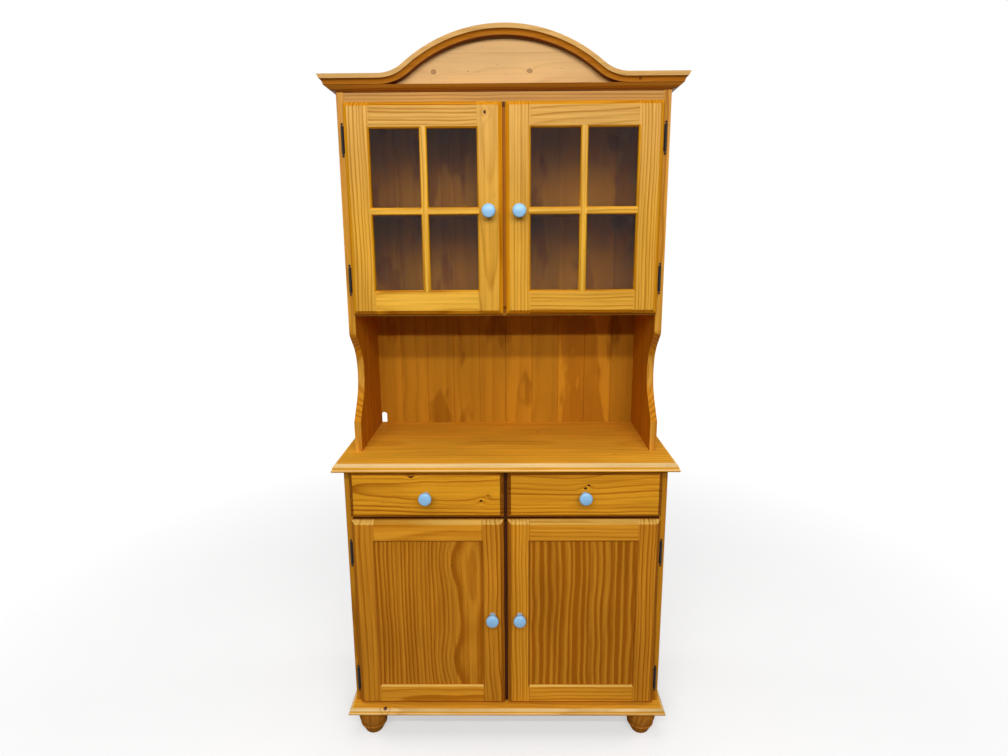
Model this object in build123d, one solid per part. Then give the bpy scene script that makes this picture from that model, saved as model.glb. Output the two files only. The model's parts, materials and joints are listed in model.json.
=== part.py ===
from build123d import *
from dataclasses import dataclass
from math import atan2, cos, radians, sin
import os

os.makedirs("parts", exist_ok=True)

# A pine kitchen dresser: a cupboard base on four turned feet, with two drawers and two panelled
# doors under a worktop, and a hutch with two glazed doors under an arched cornice.
# Millimetres. X runs to the viewer's right, Y towards the wall and Z up. The floor is Z 0.

# Overall widths, depths and setbacks
base_width = 856
hutch_side_inset = 19
worktop_depth = 405
base_setback = 43
hutch_setback = 110
worktop_side_overhang = 22
plinth_side_overhang = 16

# Clear heights of the storeys, from the floor up
foot_height = 78
cupboard_height = 553
drawer_opening_height = 130
niche_height = 370
showcase_height = 493
frieze_height = 54

# Board thicknesses
board = 18
plinth_thickness = 18
worktop_thickness = 22
base_back_thickness = 6
hutch_back_thickness = 10

# Moulded edge of the worktop and the plinth: a quarter round, a fine step and a half round bead
ovolo_reach = 13
ovolo_bulge = 2.6
quirk_height = 1.4
bead_height = 7.2
bead_reach = 3

# Turned feet
foot_side_inset = 60
foot_front_inset = 52
foot_neck_radius = 39
foot_belly_radius = 42
foot_waist_radius = 35.5
foot_bead_radius = 37.2
foot_bead_centre = 25
foot_bead_height = 5
foot_sole_radius = 24
foot_spigot_radius = 10
foot_spigot_length = 12
foot_spigot_clearance = 0.1

# Doors and drawer fronts
door_thickness = 18
front_standoff = 3
base_door_lap = 2
hutch_door_lap = 0.5
base_door_gap = 9
hutch_door_gap = 7.7
base_door_foot_clearance = 3
rail_lap = 5
frieze_lap = 12
drawer_front_top_clearance = 4
base_frame_width = 60
hutch_frame_width = 62
edge_chamfer_width = 11
edge_chamfer_depth = 10
sight_chamfer = 4

# Panels, glass and glazing bars
panel_thickness = 6
panel_recess = 7
panel_groove_depth = 8
panel_clearance = 0.3
glass_thickness = 3
glass_recess = 9
glass_rebate = 8
glass_clearance = 1
glazing_bar_width = 18.5
glazing_bar_round = 5
glazing_bead_width = 7.5

# Turned knobs
knob_reach = 37
knob_head_radius = 17
knob_widest_at = 30
knob_rim_round = 5
knob_waist_radius = 7.5
knob_neck_radius = 8.5
knob_neck_length = 14
knob_head_step = 1.5
base_knob_inset = 32.5
base_knob_height = 277.5
hutch_knob_inset = 34
hutch_knob_height = 258.5
knob_screw_radius = 2
knob_screw_length = 12
knob_screw_head_radius = 4.5
knob_screw_head_height = 2
knob_screw_clearance = 0.1

# Lift-off hinges with turned finials
hinge_length = 64
knuckle_radius = 3
knuckle_gap = 0.3
hinge_pin_radius = 1.5
hinge_pin_clearance = 0.06
hinge_pin_engagement = 24
hinge_outset = 6.5
hinge_face_clearance = 0.4
hinge_leaf_thickness = 1.2
hinge_leaf_width = 22
hinge_leaf_clearance = 0.4
finial_length = 8
finial_neck_radius = 1.5
finial_ball_radius = 2.8
base_hinge_heights = (71, 455)
hutch_hinge_heights = (88, 431)

# Door catches
catch_width = 44
catch_height = 13
catch_depth = 22
catch_from_centre = 16
catch_plate_thickness = 1.5
catch_plate_margin = 5
catch_gap = 0.3

# Drawers
drawer_side_thickness = 12
drawer_bottom_thickness = 6
drawer_bottom_groove = 5
drawer_bottom_lift = 8
drawer_box_height = 98
drawer_back_clearance = 27
drawer_side_clearance = 0.8
drawer_running_gap = 0.3
drawer_bottom_clearance = 0.2
runner_width = 24
rail_depth = 60

# Shelves, posts and pins
shelf_setback = 4
shelf_end_clearance = 0.5
base_shelf_height = 276
hutch_shelf_height = 238
post_width = 18
post_depth = 22
post_notch_height = 5
post_notch_depth = 8
shelf_pin_radius = 2.5
shelf_pin_reach = 8
shelf_pin_embed = 9
shelf_pin_clearance = 0.1
shelf_pin_inset = 40

# Curved front edge of the hutch sides, beside the niche
ogee_depth = 72
ogee_radius = 113
ogee_centre_height = 205
ogee_upper_angle = 48
ogee_lower_angle = 42
ogee_shoulder_radius = 22

# Grooved back of the hutch and its cable notch
groove_pitch = 80.6
groove_width = 3.2
groove_depth = 1.8
cable_notch_width = 17
cable_notch_height = 34

# Cornice with its arch
crown_height = 35
crown_projection = 36
crown_upper_height = 22
fascia_height = 9.5
fascia_lean = 4
crown_quirk = 1.5
crown_cove_end = 24.5
crown_cove_sag = 1.3
crown_ovolo_start = 22.5
crown_ovolo_bulge = 2.6
crown_foot_projection = 2
arch_spring_inset = 109
arch_rise = 107
arch_spring_radius = 96
pediment_thickness = 18

# Levels
cupboard_z = foot_height + plinth_thickness
rail_z = cupboard_z + cupboard_height
drawer_z = rail_z + board
worktop_under_z = drawer_z + drawer_opening_height
niche_z = worktop_under_z + worktop_thickness
hutch_bottom_z = niche_z + niche_height
showcase_z = hutch_bottom_z + board
frieze_z = showcase_z + showcase_height
hutch_top_z = frieze_z + frieze_height
cornice_z = hutch_top_z + board

# Depth planes; the knobs of the base stand ahead of the worktop and set the front of the box
front_projection = front_standoff + door_thickness
knob_ahead = max(0, front_projection + knob_reach - base_setback)
back_y = (worktop_depth + knob_ahead) / 2
worktop_front_y = back_y - worktop_depth
base_front_y = worktop_front_y + base_setback
hutch_front_y = worktop_front_y + hutch_setback
base_back_y = back_y - base_back_thickness
hutch_back_y = back_y - hutch_back_thickness

# Half widths
base_half = base_width / 2
base_inner = base_half - board
hutch_half = base_half - hutch_side_inset
hutch_inner = hutch_half - board


def block(x0, x1, y0, y1, z0, z1):
    """A rectangular solid between two corners."""
    return Pos(x0, y0, z0) * Box(x1 - x0, y1 - y0, z1 - z0, align=(Align.MIN, Align.MIN, Align.MIN))


def mirrored(shape):
    """The same piece on the other side of the middle."""
    return mirror(shape, about=Plane.YZ)


def both_sides(shape):
    """The piece and its twin on the other side, as separate solids."""
    return [shape, mirrored(shape)]


def outlined(curves):
    """The flat face inside a closed run of lines and arcs."""
    return Face(Wire([edge for curve in curves for edge in curve.edges()]))


def prism(curves, direction):
    """The solid swept out by a closed outline along a straight direction."""
    return Solid.extrude(outlined(curves), Vector(*direction))


def turned(curves, centre, direction):
    """The solid of revolution of a closed outline about an axis through its centre."""
    return revolve(outlined(curves), axis=Axis(centre, direction))


def rod(radius, start, direction):
    """A round bar from a start point along a direction, which gives its length too."""
    along = Vector(*direction)
    return extrude(Plane(Vector(*start), z_dir=along) * Circle(radius), amount=along.length)


def bowed(start, end, bow):
    """An upright arc from start to end; it rises above its chord by bow, or hangs below if negative."""
    chord = Vector(*end) - Vector(*start)
    flat = Vector(chord.X, chord.Y, 0)
    upward = flat.normalized() * -chord.Z + Vector(0, 0, flat.length)
    middle = (Vector(*start) + Vector(*end)) * 0.5 + upward.normalized() * bow
    return ThreePointArc(Vector(*start), middle, Vector(*end))


def write(name, pieces):
    """One file for one node; several pieces stay separate solids."""
    pieces = pieces if isinstance(pieces, list) else [pieces]
    solids = [solid for piece in pieces for solid in piece.solids()]
    shape = solids[0] if len(solids) == 1 else Compound(children=solids)
    shape.label = name
    export_step(shape, f"parts/{name}.step")


# Moulded boards

def moulded_edge(place, thickness):
    """The edge's outline from the top surface down; place puts (inset, drop) into space."""
    ovolo_foot = thickness - bead_height - quirk_height
    bead_top = thickness - bead_height
    return [
        bowed(place(ovolo_reach, 0), place(bead_reach, ovolo_foot), ovolo_bulge),
        Line(place(bead_reach, ovolo_foot), place(bead_reach, bead_top)),
        ThreePointArc(
            place(bead_reach, bead_top),
            place(0, bead_top + bead_height / 2),
            place(bead_reach, thickness),
        ),
    ]


def moulded_board(width, thickness, top_z):
    """A board from the worktop's front plane to the wall, with its front and side edges moulded."""
    half = width / 2
    low_z = top_z - thickness

    def front(inset, drop):
        return (-half, worktop_front_y + inset, top_z - drop)

    def left(inset, drop):
        return (inset - half, worktop_front_y, top_z - drop)

    def right(inset, drop):
        return (half - inset, worktop_front_y, top_z - drop)

    front_outline = moulded_edge(front, thickness) + [
        Polyline(
            front(bead_reach, thickness),
            (-half, back_y, low_z),
            (-half, back_y, top_z),
            front(ovolo_reach, 0),
        )
    ]
    side_outline = (
        moulded_edge(left, thickness)
        + moulded_edge(right, thickness)
        + [
            Line(left(ovolo_reach, 0), right(ovolo_reach, 0)),
            Line(left(bead_reach, thickness), right(bead_reach, thickness)),
        ]
    )
    return prism(front_outline, (width, 0, 0)) & prism(side_outline, (0, worktop_depth, 0))


# Feet

foot_half_x = base_half + plinth_side_overhang - foot_side_inset
foot_rows = {
    "front": worktop_front_y + foot_front_inset,
    "rear": back_y - foot_front_inset,
}


def bun_foot(x, y):
    """A turned foot: a belly over a bead and a straight taper to the sole, and a spigot on top."""
    bead_top = foot_bead_centre + foot_bead_height / 2
    bead_foot = foot_bead_centre - foot_bead_height / 2
    spigot_top = foot_height + foot_spigot_length

    def at(radius, z):
        return (x + radius, y, z)

    outline = [
        Polyline(at(0, 0), at(foot_sole_radius, 0), at(foot_waist_radius, bead_foot)),
        ThreePointArc(
            at(foot_waist_radius, bead_foot),
            at(foot_bead_radius, foot_bead_centre),
            at(foot_waist_radius, bead_top),
        ),
        ThreePointArc(
            at(foot_waist_radius, bead_top),
            at(foot_belly_radius, (bead_top + foot_height) / 2),
            at(foot_neck_radius, foot_height),
        ),
        Polyline(
            at(foot_neck_radius, foot_height),
            at(foot_spigot_radius, foot_height),
            at(foot_spigot_radius, spigot_top),
            at(0, spigot_top),
            at(0, 0),
        ),
    ]
    return turned(outline, (x, y, 0), (0, 0, 1))


def foot_pair(y):
    return both_sides(bun_foot(foot_half_x, y))


def plinth_board():
    """The moulded floor board of the base, bored for the spigots of the feet."""
    board_blank = moulded_board(base_width + 2 * plinth_side_overhang, plinth_thickness, cupboard_z)
    for y in foot_rows.values():
        for x in (-foot_half_x, foot_half_x):
            board_blank -= rod(
                foot_spigot_radius + foot_spigot_clearance,
                (x, y, foot_height),
                (0, 0, foot_spigot_length),
            )
    return board_blank


# Shelves and their pins

base_shelf_z = cupboard_z + base_shelf_height
hutch_shelf_z = showcase_z + hutch_shelf_height
base_shelf_front_y = base_front_y + post_depth + shelf_setback
hutch_shelf_front_y = hutch_front_y + post_depth + shelf_setback


def pin_places(front_y, rear_y):
    """The two places of the pins along the depth of a side."""
    return (front_y + shelf_pin_inset, rear_y - shelf_pin_inset)


def shelf_pin(inner_x, y, shelf_z, clearance=0):
    """A pin in the right side under a shelf; with a clearance it is the bore for it."""
    pin_z = shelf_z - shelf_pin_radius
    reach = 0 if clearance else shelf_pin_reach
    return rod(
        shelf_pin_radius + clearance,
        (inner_x - reach, y, pin_z),
        (reach + shelf_pin_embed, 0, 0),
    )


def shelf_pins():
    pins = []
    for y in pin_places(base_shelf_front_y, base_back_y):
        pins += both_sides(shelf_pin(base_inner, y, base_shelf_z))
    for y in pin_places(hutch_shelf_front_y, hutch_back_y):
        pins += both_sides(shelf_pin(hutch_inner, y, hutch_shelf_z))
    return pins


def shelf(inner_x, front_y, rear_y, low_z):
    half = inner_x - shelf_end_clearance
    return block(-half, half, front_y, rear_y, low_z, low_z + board)


# Base carcass

def base_side():
    side = block(base_inner, base_half, base_front_y, back_y, cupboard_z, worktop_under_z)
    for y in pin_places(base_shelf_front_y, base_back_y):
        side -= shelf_pin(base_inner, y, base_shelf_z, shelf_pin_clearance)
    return side


def base_back_panel():
    return block(-base_inner, base_inner, base_back_y, back_y, cupboard_z, worktop_under_z)


def drawer_rail():
    return block(-base_inner, base_inner, base_front_y, base_front_y + rail_depth, rail_z, drawer_z)


def drawer_partition():
    half = board / 2
    return block(-half, half, base_front_y, base_back_y, drawer_z, worktop_under_z)


def drawer_runners():
    """Four strips level with the rail, which carry the drawers behind it."""
    front_y = base_front_y + rail_depth
    outer = block(base_inner - runner_width, base_inner, front_y, base_back_y, rail_z, drawer_z)
    middle_half = board / 2 + runner_width
    middle = block(-middle_half, middle_half, front_y, base_back_y, rail_z, drawer_z)
    halves = split(middle, bisect_by=Plane.YZ, keep=Keep.BOTH)
    return both_sides(outer) + [halves]


def centre_post(front_y, low_z, high_z, notch_z):
    """The fixed upright behind the gap of a door pair, notched where a rail meets it."""
    half = post_width / 2
    post = block(-half, half, front_y, front_y + post_depth, low_z, high_z)
    notch = block(-half, half, front_y, front_y + post_notch_depth, notch_z, notch_z + post_notch_height)
    return post - notch


# Hutch carcass

def hutch_side():
    """A side board whose front edge swings back beside the niche and returns to a straight foot."""
    centre_y = hutch_front_y + ogee_depth - ogee_radius
    centre_z = niche_z + ogee_centre_height

    def on_arc(angle):
        return (
            hutch_inner,
            centre_y + ogee_radius * cos(radians(angle)),
            centre_z + ogee_radius * sin(radians(angle)),
        )

    def on_front(angle):
        """Where the tangent that leaves the arc at this angle meets the front plane."""
        _, y, z = on_arc(angle)
        run = (y - hutch_front_y) / sin(radians(abs(angle)))
        rise = run * cos(radians(angle))
        return (hutch_inner, hutch_front_y, z + rise if angle > 0 else z - rise)

    shoulder = on_front(ogee_upper_angle)
    ankle = on_front(-ogee_lower_angle)
    outline = [
        Line((hutch_inner, hutch_front_y, hutch_top_z), shoulder),
        Line(shoulder, on_arc(ogee_upper_angle)),
        ThreePointArc(on_arc(ogee_upper_angle), on_arc(0), on_arc(-ogee_lower_angle)),
        Polyline(
            on_arc(-ogee_lower_angle),
            ankle,
            (hutch_inner, hutch_front_y, niche_z),
            (hutch_inner, back_y, niche_z),
            (hutch_inner, back_y, hutch_top_z),
            (hutch_inner, hutch_front_y, hutch_top_z),
        ),
    ]
    side = prism(outline, (board, 0, 0))
    shoulder_edge = side.edges().filter_by(Axis.X).sort_by_distance(shoulder)[0]
    side = side.fillet(ogee_shoulder_radius, [shoulder_edge])
    for y in pin_places(hutch_shelf_front_y, hutch_back_y):
        side -= shelf_pin(hutch_inner, y, hutch_shelf_z, shelf_pin_clearance)
    return side


def hutch_back_panel():
    """Boards with a small groove at each joint, and a round-topped notch for a cable."""
    panel = block(-hutch_inner, hutch_inner, hutch_back_y, back_y, niche_z, hutch_top_z)
    grooves_each_side = int(hutch_inner / groove_pitch)
    for number in range(-grooves_each_side, grooves_each_side + 1):
        x = number * groove_pitch
        mouth = groove_width / 2
        outline = Polyline(
            (x - mouth, hutch_back_y, niche_z),
            (x, hutch_back_y + groove_depth, niche_z),
            (x + mouth, hutch_back_y, niche_z),
            close=True,
        )
        panel -= prism([outline], (0, 0, hutch_top_z - niche_z))
    notch_left = -hutch_inner
    notch_right = notch_left + cable_notch_width
    notch_radius = cable_notch_width / 2
    straight_z = niche_z + cable_notch_height - notch_radius
    panel -= block(notch_left, notch_right, hutch_back_y, back_y, niche_z, straight_z)
    notch_x = notch_left + notch_radius
    panel -= rod(notch_radius, (notch_x, hutch_back_y, straight_z), (0, hutch_back_thickness, 0))
    return panel


def hutch_top_board():
    front_y = hutch_front_y + pediment_thickness
    return block(-hutch_half, hutch_half, front_y, back_y, hutch_top_z, cornice_z)


def hutch_top_rail():
    return block(-hutch_inner, hutch_inner, hutch_front_y, hutch_front_y + board, frieze_z, hutch_top_z)


def hutch_bottom_board():
    return block(-hutch_inner, hutch_inner, hutch_front_y, hutch_back_y, hutch_bottom_z, showcase_z)


# Cornice, pediment and arch

crown_z = cornice_z - crown_height
arch_half_span = hutch_half - arch_spring_inset
arch_crown_radius = (arch_half_span ** 2 + arch_rise ** 2) / (2 * arch_rise) - arch_spring_radius


def arch_line(y, half_length, drop=0):
    """The line of the arch at a depth plane, run parallel at a drop below the cornice's top edge.

    It goes level, up a hollow sweep, over the round crown and down again, all tangent.
    """
    spring = Vector(-arch_half_span, y, cornice_z + arch_spring_radius)
    crown = Vector(0, y, cornice_z + arch_rise - arch_crown_radius)
    hollow_radius = arch_spring_radius + drop
    crown_radius = arch_crown_radius - drop
    lean = atan2(crown.Z - spring.Z, crown.X - spring.X)
    half_lean = (lean - radians(90)) / 2

    def around(centre, radius, angle):
        return Vector(centre.X + radius * cos(angle), y, centre.Z + radius * sin(angle))

    level_z = cornice_z - drop
    start = Vector(-half_length, y, level_z)
    foot = Vector(spring.X, y, level_z)
    turn = around(spring, hollow_radius, lean)
    hollow_middle = around(spring, hollow_radius, radians(-90) + (lean + radians(90)) / 2)
    top = around(crown, crown_radius, radians(90))

    def across(point):
        return Vector(-point.X, y, point.Z)

    return [
        Line(start, foot),
        ThreePointArc(foot, hollow_middle, turn),
        ThreePointArc(turn, top, across(turn)),
        ThreePointArc(across(turn), across(hollow_middle), across(foot)),
        Line(across(foot), across(start)),
    ]


def crown_upper(place):
    """The cornice's upper member: leaning fascia, fine step and hollow."""
    fascia_foot = crown_projection - fascia_lean
    hollow_top = (fascia_foot - crown_quirk, fascia_height + crown_quirk / 2)
    hollow_end = (crown_cove_end, crown_upper_height - crown_quirk / 2)
    return [
        Polyline(
            place(0, 0),
            place(crown_projection, 0),
            place(fascia_foot, fascia_height),
            place(*hollow_top),
        ),
        bowed(place(*hollow_top), place(*hollow_end), crown_cove_sag),
        Polyline(
            place(*hollow_end),
            place(crown_cove_end, crown_upper_height),
            place(0, crown_upper_height),
        ),
        Line(place(0, crown_upper_height), place(0, 0)),
    ]


def crown_lower(place):
    """The cornice's lower member: a flattened round that runs in to the frieze."""
    foot_drop = crown_height - crown_quirk / 2
    return [
        Line(place(0, crown_upper_height), place(crown_ovolo_start, crown_upper_height)),
        bowed(
            place(crown_ovolo_start, crown_upper_height),
            place(crown_foot_projection, foot_drop),
            -crown_ovolo_bulge,
        ),
        Polyline(
            place(crown_foot_projection, foot_drop),
            place(crown_foot_projection, crown_height),
            place(0, crown_height),
            place(0, crown_upper_height),
        ),
    ]


crown_reach = 2 * crown_projection


def front_of_mitre():
    """The space ahead of the hutch between the two mitre planes."""
    outline = Polyline(
        (-hutch_half, hutch_front_y, crown_z),
        (hutch_half, hutch_front_y, crown_z),
        (hutch_half + crown_reach, hutch_front_y - crown_reach, crown_z),
        (-hutch_half - crown_reach, hutch_front_y - crown_reach, crown_z),
        close=True,
    )
    return prism([outline], (0, 0, crown_height + arch_rise))


def crown_front_place(projection, drop):
    return (-hutch_half - crown_projection, hutch_front_y - projection, cornice_z - drop)


def cornice_arch_moulding():
    """The upper member along the front, carried over the arch and mitred at both ends."""
    half_length = hutch_half + crown_projection
    section = outlined(crown_upper(crown_front_place))
    path = Wire(arch_line(hutch_front_y, half_length))
    return Solid.sweep(section, path) & front_of_mitre()


def cornice_bed_moulding():
    """The lower member, straight along the front."""
    length = 2 * (hutch_half + crown_projection)
    return prism(crown_lower(crown_front_place), (length, 0, 0)) & front_of_mitre()


def cornice_return():
    """Both members along the right side, mitred to the front."""
    start_y = hutch_front_y - crown_projection

    def place(projection, drop):
        return (hutch_half + projection, start_y, cornice_z - drop)

    run = (0, back_y - start_y, 0)
    return prism(crown_upper(place), run) + prism(crown_lower(place), run) - front_of_mitre()


def pediment_panel():
    """The board behind the arch, standing on the sides and the top rail."""
    outline = arch_line(hutch_front_y, hutch_half) + [
        Polyline(
            (hutch_half, hutch_front_y, cornice_z),
            (hutch_half, hutch_front_y, hutch_top_z),
            (-hutch_half, hutch_front_y, hutch_top_z),
            (-hutch_half, hutch_front_y, cornice_z),
        )
    ]
    return prism(outline, (0, pediment_thickness, 0))


# Doors, written for the right-hand door; the left-hand ones are their mirror images

@dataclass(frozen=True)
class Door:
    """One right-hand door: its opening in the carcass, its frame and where its fittings go."""

    carcass_y: float
    side_inner_x: float
    lap: float
    gap: float
    z0: float
    z1: float
    frame_width: float
    hinge_heights: tuple
    knob_inset: float
    knob_height: float

    @property
    def rear_y(self):
        return self.carcass_y - front_standoff

    @property
    def front_y(self):
        return self.rear_y - door_thickness

    @property
    def x0(self):
        return self.gap / 2

    @property
    def x1(self):
        return self.side_inner_x + self.lap

    @property
    def sight(self):
        """The clear opening inside the frame, as its two X and its two Z limits."""
        margin = self.frame_width
        return self.x0 + margin, self.x1 - margin, self.z0 + margin, self.z1 - margin

    @property
    def hinge_zs(self):
        return [self.z0 + height for height in self.hinge_heights]

    @property
    def hinge_x(self):
        return self.x1 + hinge_outset

    @property
    def hinge_y(self):
        return self.carcass_y - knuckle_radius - hinge_face_clearance

    @property
    def knob_x(self):
        return self.x0 + self.knob_inset

    @property
    def knob_z(self):
        return self.z0 + self.knob_height


base_door = Door(
    carcass_y=base_front_y,
    side_inner_x=base_inner,
    lap=base_door_lap,
    gap=base_door_gap,
    z0=cupboard_z + base_door_foot_clearance,
    z1=rail_z + rail_lap,
    frame_width=base_frame_width,
    hinge_heights=base_hinge_heights,
    knob_inset=base_knob_inset,
    knob_height=base_knob_height,
)
hutch_door = Door(
    carcass_y=hutch_front_y,
    side_inner_x=hutch_inner,
    lap=hutch_door_lap,
    gap=hutch_door_gap,
    z0=showcase_z - frieze_lap,
    z1=frieze_z + frieze_lap,
    frame_width=hutch_frame_width,
    hinge_heights=hutch_hinge_heights,
    knob_inset=hutch_knob_inset,
    knob_height=hutch_knob_height,
)


def chamfered_slab(x0, x1, front_y, z0, z1):
    """A door or drawer blank with a wide chamfer round its face."""
    slab = block(x0, x1, front_y, front_y + door_thickness, z0, z1)
    face = slab.faces().sort_by(Axis.Y)[0]
    return slab.chamfer(edge_chamfer_depth, edge_chamfer_width, face.edges(), face)


def frame_blank(door):
    """The door's frame in one piece, with a small chamfer round the sight opening."""
    sx0, sx1, sz0, sz1 = door.sight
    blank = chamfered_slab(door.x0, door.x1, door.front_y, door.z0, door.z1)
    blank -= block(sx0, sx1, door.front_y, door.rear_y, sz0, sz1)
    middle = Pos((sx0 + sx1) / 2, door.front_y, (sz0 + sz1) / 2)
    width, height = sx1 - sx0, sz1 - sz0
    mouth = Rectangle(width + 2 * sight_chamfer, height + 2 * sight_chamfer)
    throat = Rectangle(width, height)
    upright = Rot(90, 0, 0)
    funnel = loft(
        [
            (middle * upright * mouth).face(),
            (middle * Pos(0, sight_chamfer, 0) * upright * throat).face(),
        ]
    )
    return blank - funnel


def widened(door, margin, y0, y1):
    """A block over the door's sight opening, wider by a margin all round."""
    sx0, sx1, sz0, sz1 = door.sight
    return block(sx0 - margin, sx1 + margin, y0, y1, sz0 - margin, sz1 + margin)


def stiles_and_rails(door, blank, tongue_y0, tongue_y1, tongue_length):
    """Upright stiles over the full height, with rails between them on a short tongue."""
    sx0, sx1, _, _ = door.sight
    reach = door_thickness
    between = block(sx0, sx1, door.front_y - reach, door.rear_y + reach, door.z0, door.z1)
    tongues = block(
        sx0 - tongue_length,
        sx1 + tongue_length,
        tongue_y0,
        tongue_y1,
        door.z0 + edge_chamfer_width,
        door.z1 - edge_chamfer_width,
    )
    return blank - between - tongues, blank & (between + tongues)


def panelled_door(door):
    """Stiles, rails and a flat panel held in a groove."""
    panel_y = door.front_y + panel_recess
    panel = widened(door, panel_groove_depth - panel_clearance, panel_y, panel_y + panel_thickness)
    blank = frame_blank(door) - widened(door, panel_groove_depth, panel_y, panel_y + panel_thickness)
    stiles, rails = stiles_and_rails(
        door, blank, panel_y, panel_y + panel_thickness, panel_groove_depth - panel_clearance
    )
    return stiles, rails, panel


def round_bar(door, across, along, upright):
    """A glazing bar with rounded front arrises, centred at across and running along a span."""
    half = glazing_bar_width / 2
    depth = glass_recess
    y = door.front_y

    def place(offset, inset):
        if upright:
            return (across + offset, y + inset, along[0])
        return (along[0], y + inset, across + offset)

    corner = glazing_bar_round * (1 - cos(radians(45)))
    outline = [
        Polyline(
            place(-half, glazing_bar_round),
            place(-half, depth),
            place(half, depth),
            place(half, glazing_bar_round),
        ),
        ThreePointArc(
            place(half, glazing_bar_round),
            place(half - corner, corner),
            place(half - glazing_bar_round, 0),
        ),
        Line(place(half - glazing_bar_round, 0), place(glazing_bar_round - half, 0)),
        ThreePointArc(
            place(glazing_bar_round - half, 0),
            place(corner - half, corner),
            place(-half, glazing_bar_round),
        ),
    ]
    length = along[1] - along[0]
    return prism(outline, (0, 0, length) if upright else (length, 0, 0))


def glazed_door(door):
    """Stiles, rails, a cross of bars, a pane in the rebate and the beads that hold it."""
    sx0, sx1, sz0, sz1 = door.sight
    glass_y = door.front_y + glass_recess
    blank = frame_blank(door) - widened(door, glass_rebate, glass_y, door.rear_y)
    stiles, rails = stiles_and_rails(door, blank, glass_y, door.rear_y, 0)
    margin = glass_rebate - glass_clearance
    glass = widened(door, margin, glass_y, glass_y + glass_thickness)
    middle_x = (sx0 + sx1) / 2
    middle_z = (sz0 + sz1) / 2
    cross = round_bar(door, middle_x, (sz0 - sight_chamfer, sz1 + sight_chamfer), True)
    cross += round_bar(door, middle_z, (sx0 - sight_chamfer, sx1 + sight_chamfer), False)
    cross -= blank
    bead_y = glass_y + glass_thickness
    ring = widened(door, glass_rebate, bead_y, door.rear_y) - widened(
        door, glass_rebate - glazing_bead_width, bead_y, door.rear_y
    )
    sides = block(sx0, sx1, bead_y, door.rear_y, door.z0, door.z1)
    beads = [ring - sides, ring & sides]
    return stiles, rails, [cross] + beads, glass


def knob(x, face_y, z):
    """A turned knob: waisted neck, rounded head and a shallow dome, bored for a screw."""

    def at(radius, reach):
        return (x + radius, face_y - reach, z)

    # The dome's radius makes it tangent to the small round of the rim
    rim_x = knob_head_radius - knob_rim_round
    rise = knob_reach - knob_widest_at
    dome_radius = (rim_x ** 2 + rise ** 2 - knob_rim_round ** 2) / (2 * (rise - knob_rim_round))
    stretch = dome_radius / (dome_radius - knob_rim_round)
    dome_centre = knob_reach - dome_radius
    dome_edge = at(rim_x * stretch, dome_centre + (knob_widest_at - dome_centre) * stretch)
    widest = at(knob_head_radius, knob_widest_at)
    head_foot = at(knob_neck_radius + knob_head_step, knob_neck_length)
    neck_end = at(knob_neck_radius, knob_neck_length)
    outline = [
        Line(at(0, 0), at(knob_neck_radius, 0)),
        ThreePointArc(at(knob_neck_radius, 0), at(knob_waist_radius, knob_neck_length / 2), neck_end),
        Line(neck_end, head_foot),
        TangentArc(widest, head_foot, tangent=(0, 1, 0)),
        TangentArc(widest, dome_edge, tangent=(0, -1, 0)),
        TangentArc(at(0, knob_reach), dome_edge, tangent=(1, 0, 0)),
        Line(at(0, knob_reach), at(0, 0)),
    ]
    body = turned(outline, (x, face_y, z), (0, 1, 0))
    return body - rod(knob_screw_radius + knob_screw_clearance, (x, face_y, z), (0, -knob_screw_length, 0))


def knob_screw(x, face_y, z):
    """The screw that holds a knob, with its head on the back of the door or drawer front."""
    rear_y = face_y + door_thickness
    shank = rod(knob_screw_radius, (x, rear_y, z), (0, -door_thickness - knob_screw_length, 0))
    head = rod(knob_screw_head_radius, (x, rear_y, z), (0, knob_screw_head_height, 0))
    return shank + head


def screw_bore(x, face_y, z):
    return rod(knob_screw_radius + knob_screw_clearance, (x, face_y, z), (0, door_thickness, 0))


# Hinges; a right-hand hinge stands on its pin axis, with its middle at z

def knuckle(x, y, z, up):
    """Half of the barrel with its finial; up is 1 for the door's half and -1 for the fixed half."""
    length = (hinge_length - knuckle_gap) / 2
    inner = z + up * knuckle_gap / 2
    end = inner + up * length
    ball = end + up * (finial_length - finial_ball_radius)
    slant = finial_ball_radius * cos(radians(45))

    def at(radius, height):
        return (x + radius, y, height)

    outline = [
        Polyline(
            at(0, inner),
            at(knuckle_radius, inner),
            at(knuckle_radius, end),
            at(finial_neck_radius, end),
            at(finial_neck_radius, ball - up * finial_neck_radius),
            at(finial_ball_radius, ball),
        ),
        ThreePointArc(
            at(finial_ball_radius, ball),
            at(slant, ball + up * slant),
            at(0, ball + up * finial_ball_radius),
        ),
        Line(at(0, ball + up * finial_ball_radius), at(0, inner)),
    ]
    body = turned(outline, (x, y, z), (0, 0, 1))
    bore = rod(
        hinge_pin_radius + hinge_pin_clearance,
        (x, y, inner),
        (0, 0, up * (hinge_pin_engagement + hinge_pin_clearance)),
    )
    return body - bore


def hinge_pin(door, z):
    half = hinge_pin_engagement
    return rod(hinge_pin_radius, (door.hinge_x, door.hinge_y, z - half), (0, 0, 2 * half))


def leaf_span(z, up):
    """The height range where a leaf joins its own half of the barrel."""
    inner = z + up * knuckle_gap / 2
    outer = z + up * hinge_length / 2
    return min(inner, outer), max(inner, outer)


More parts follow.
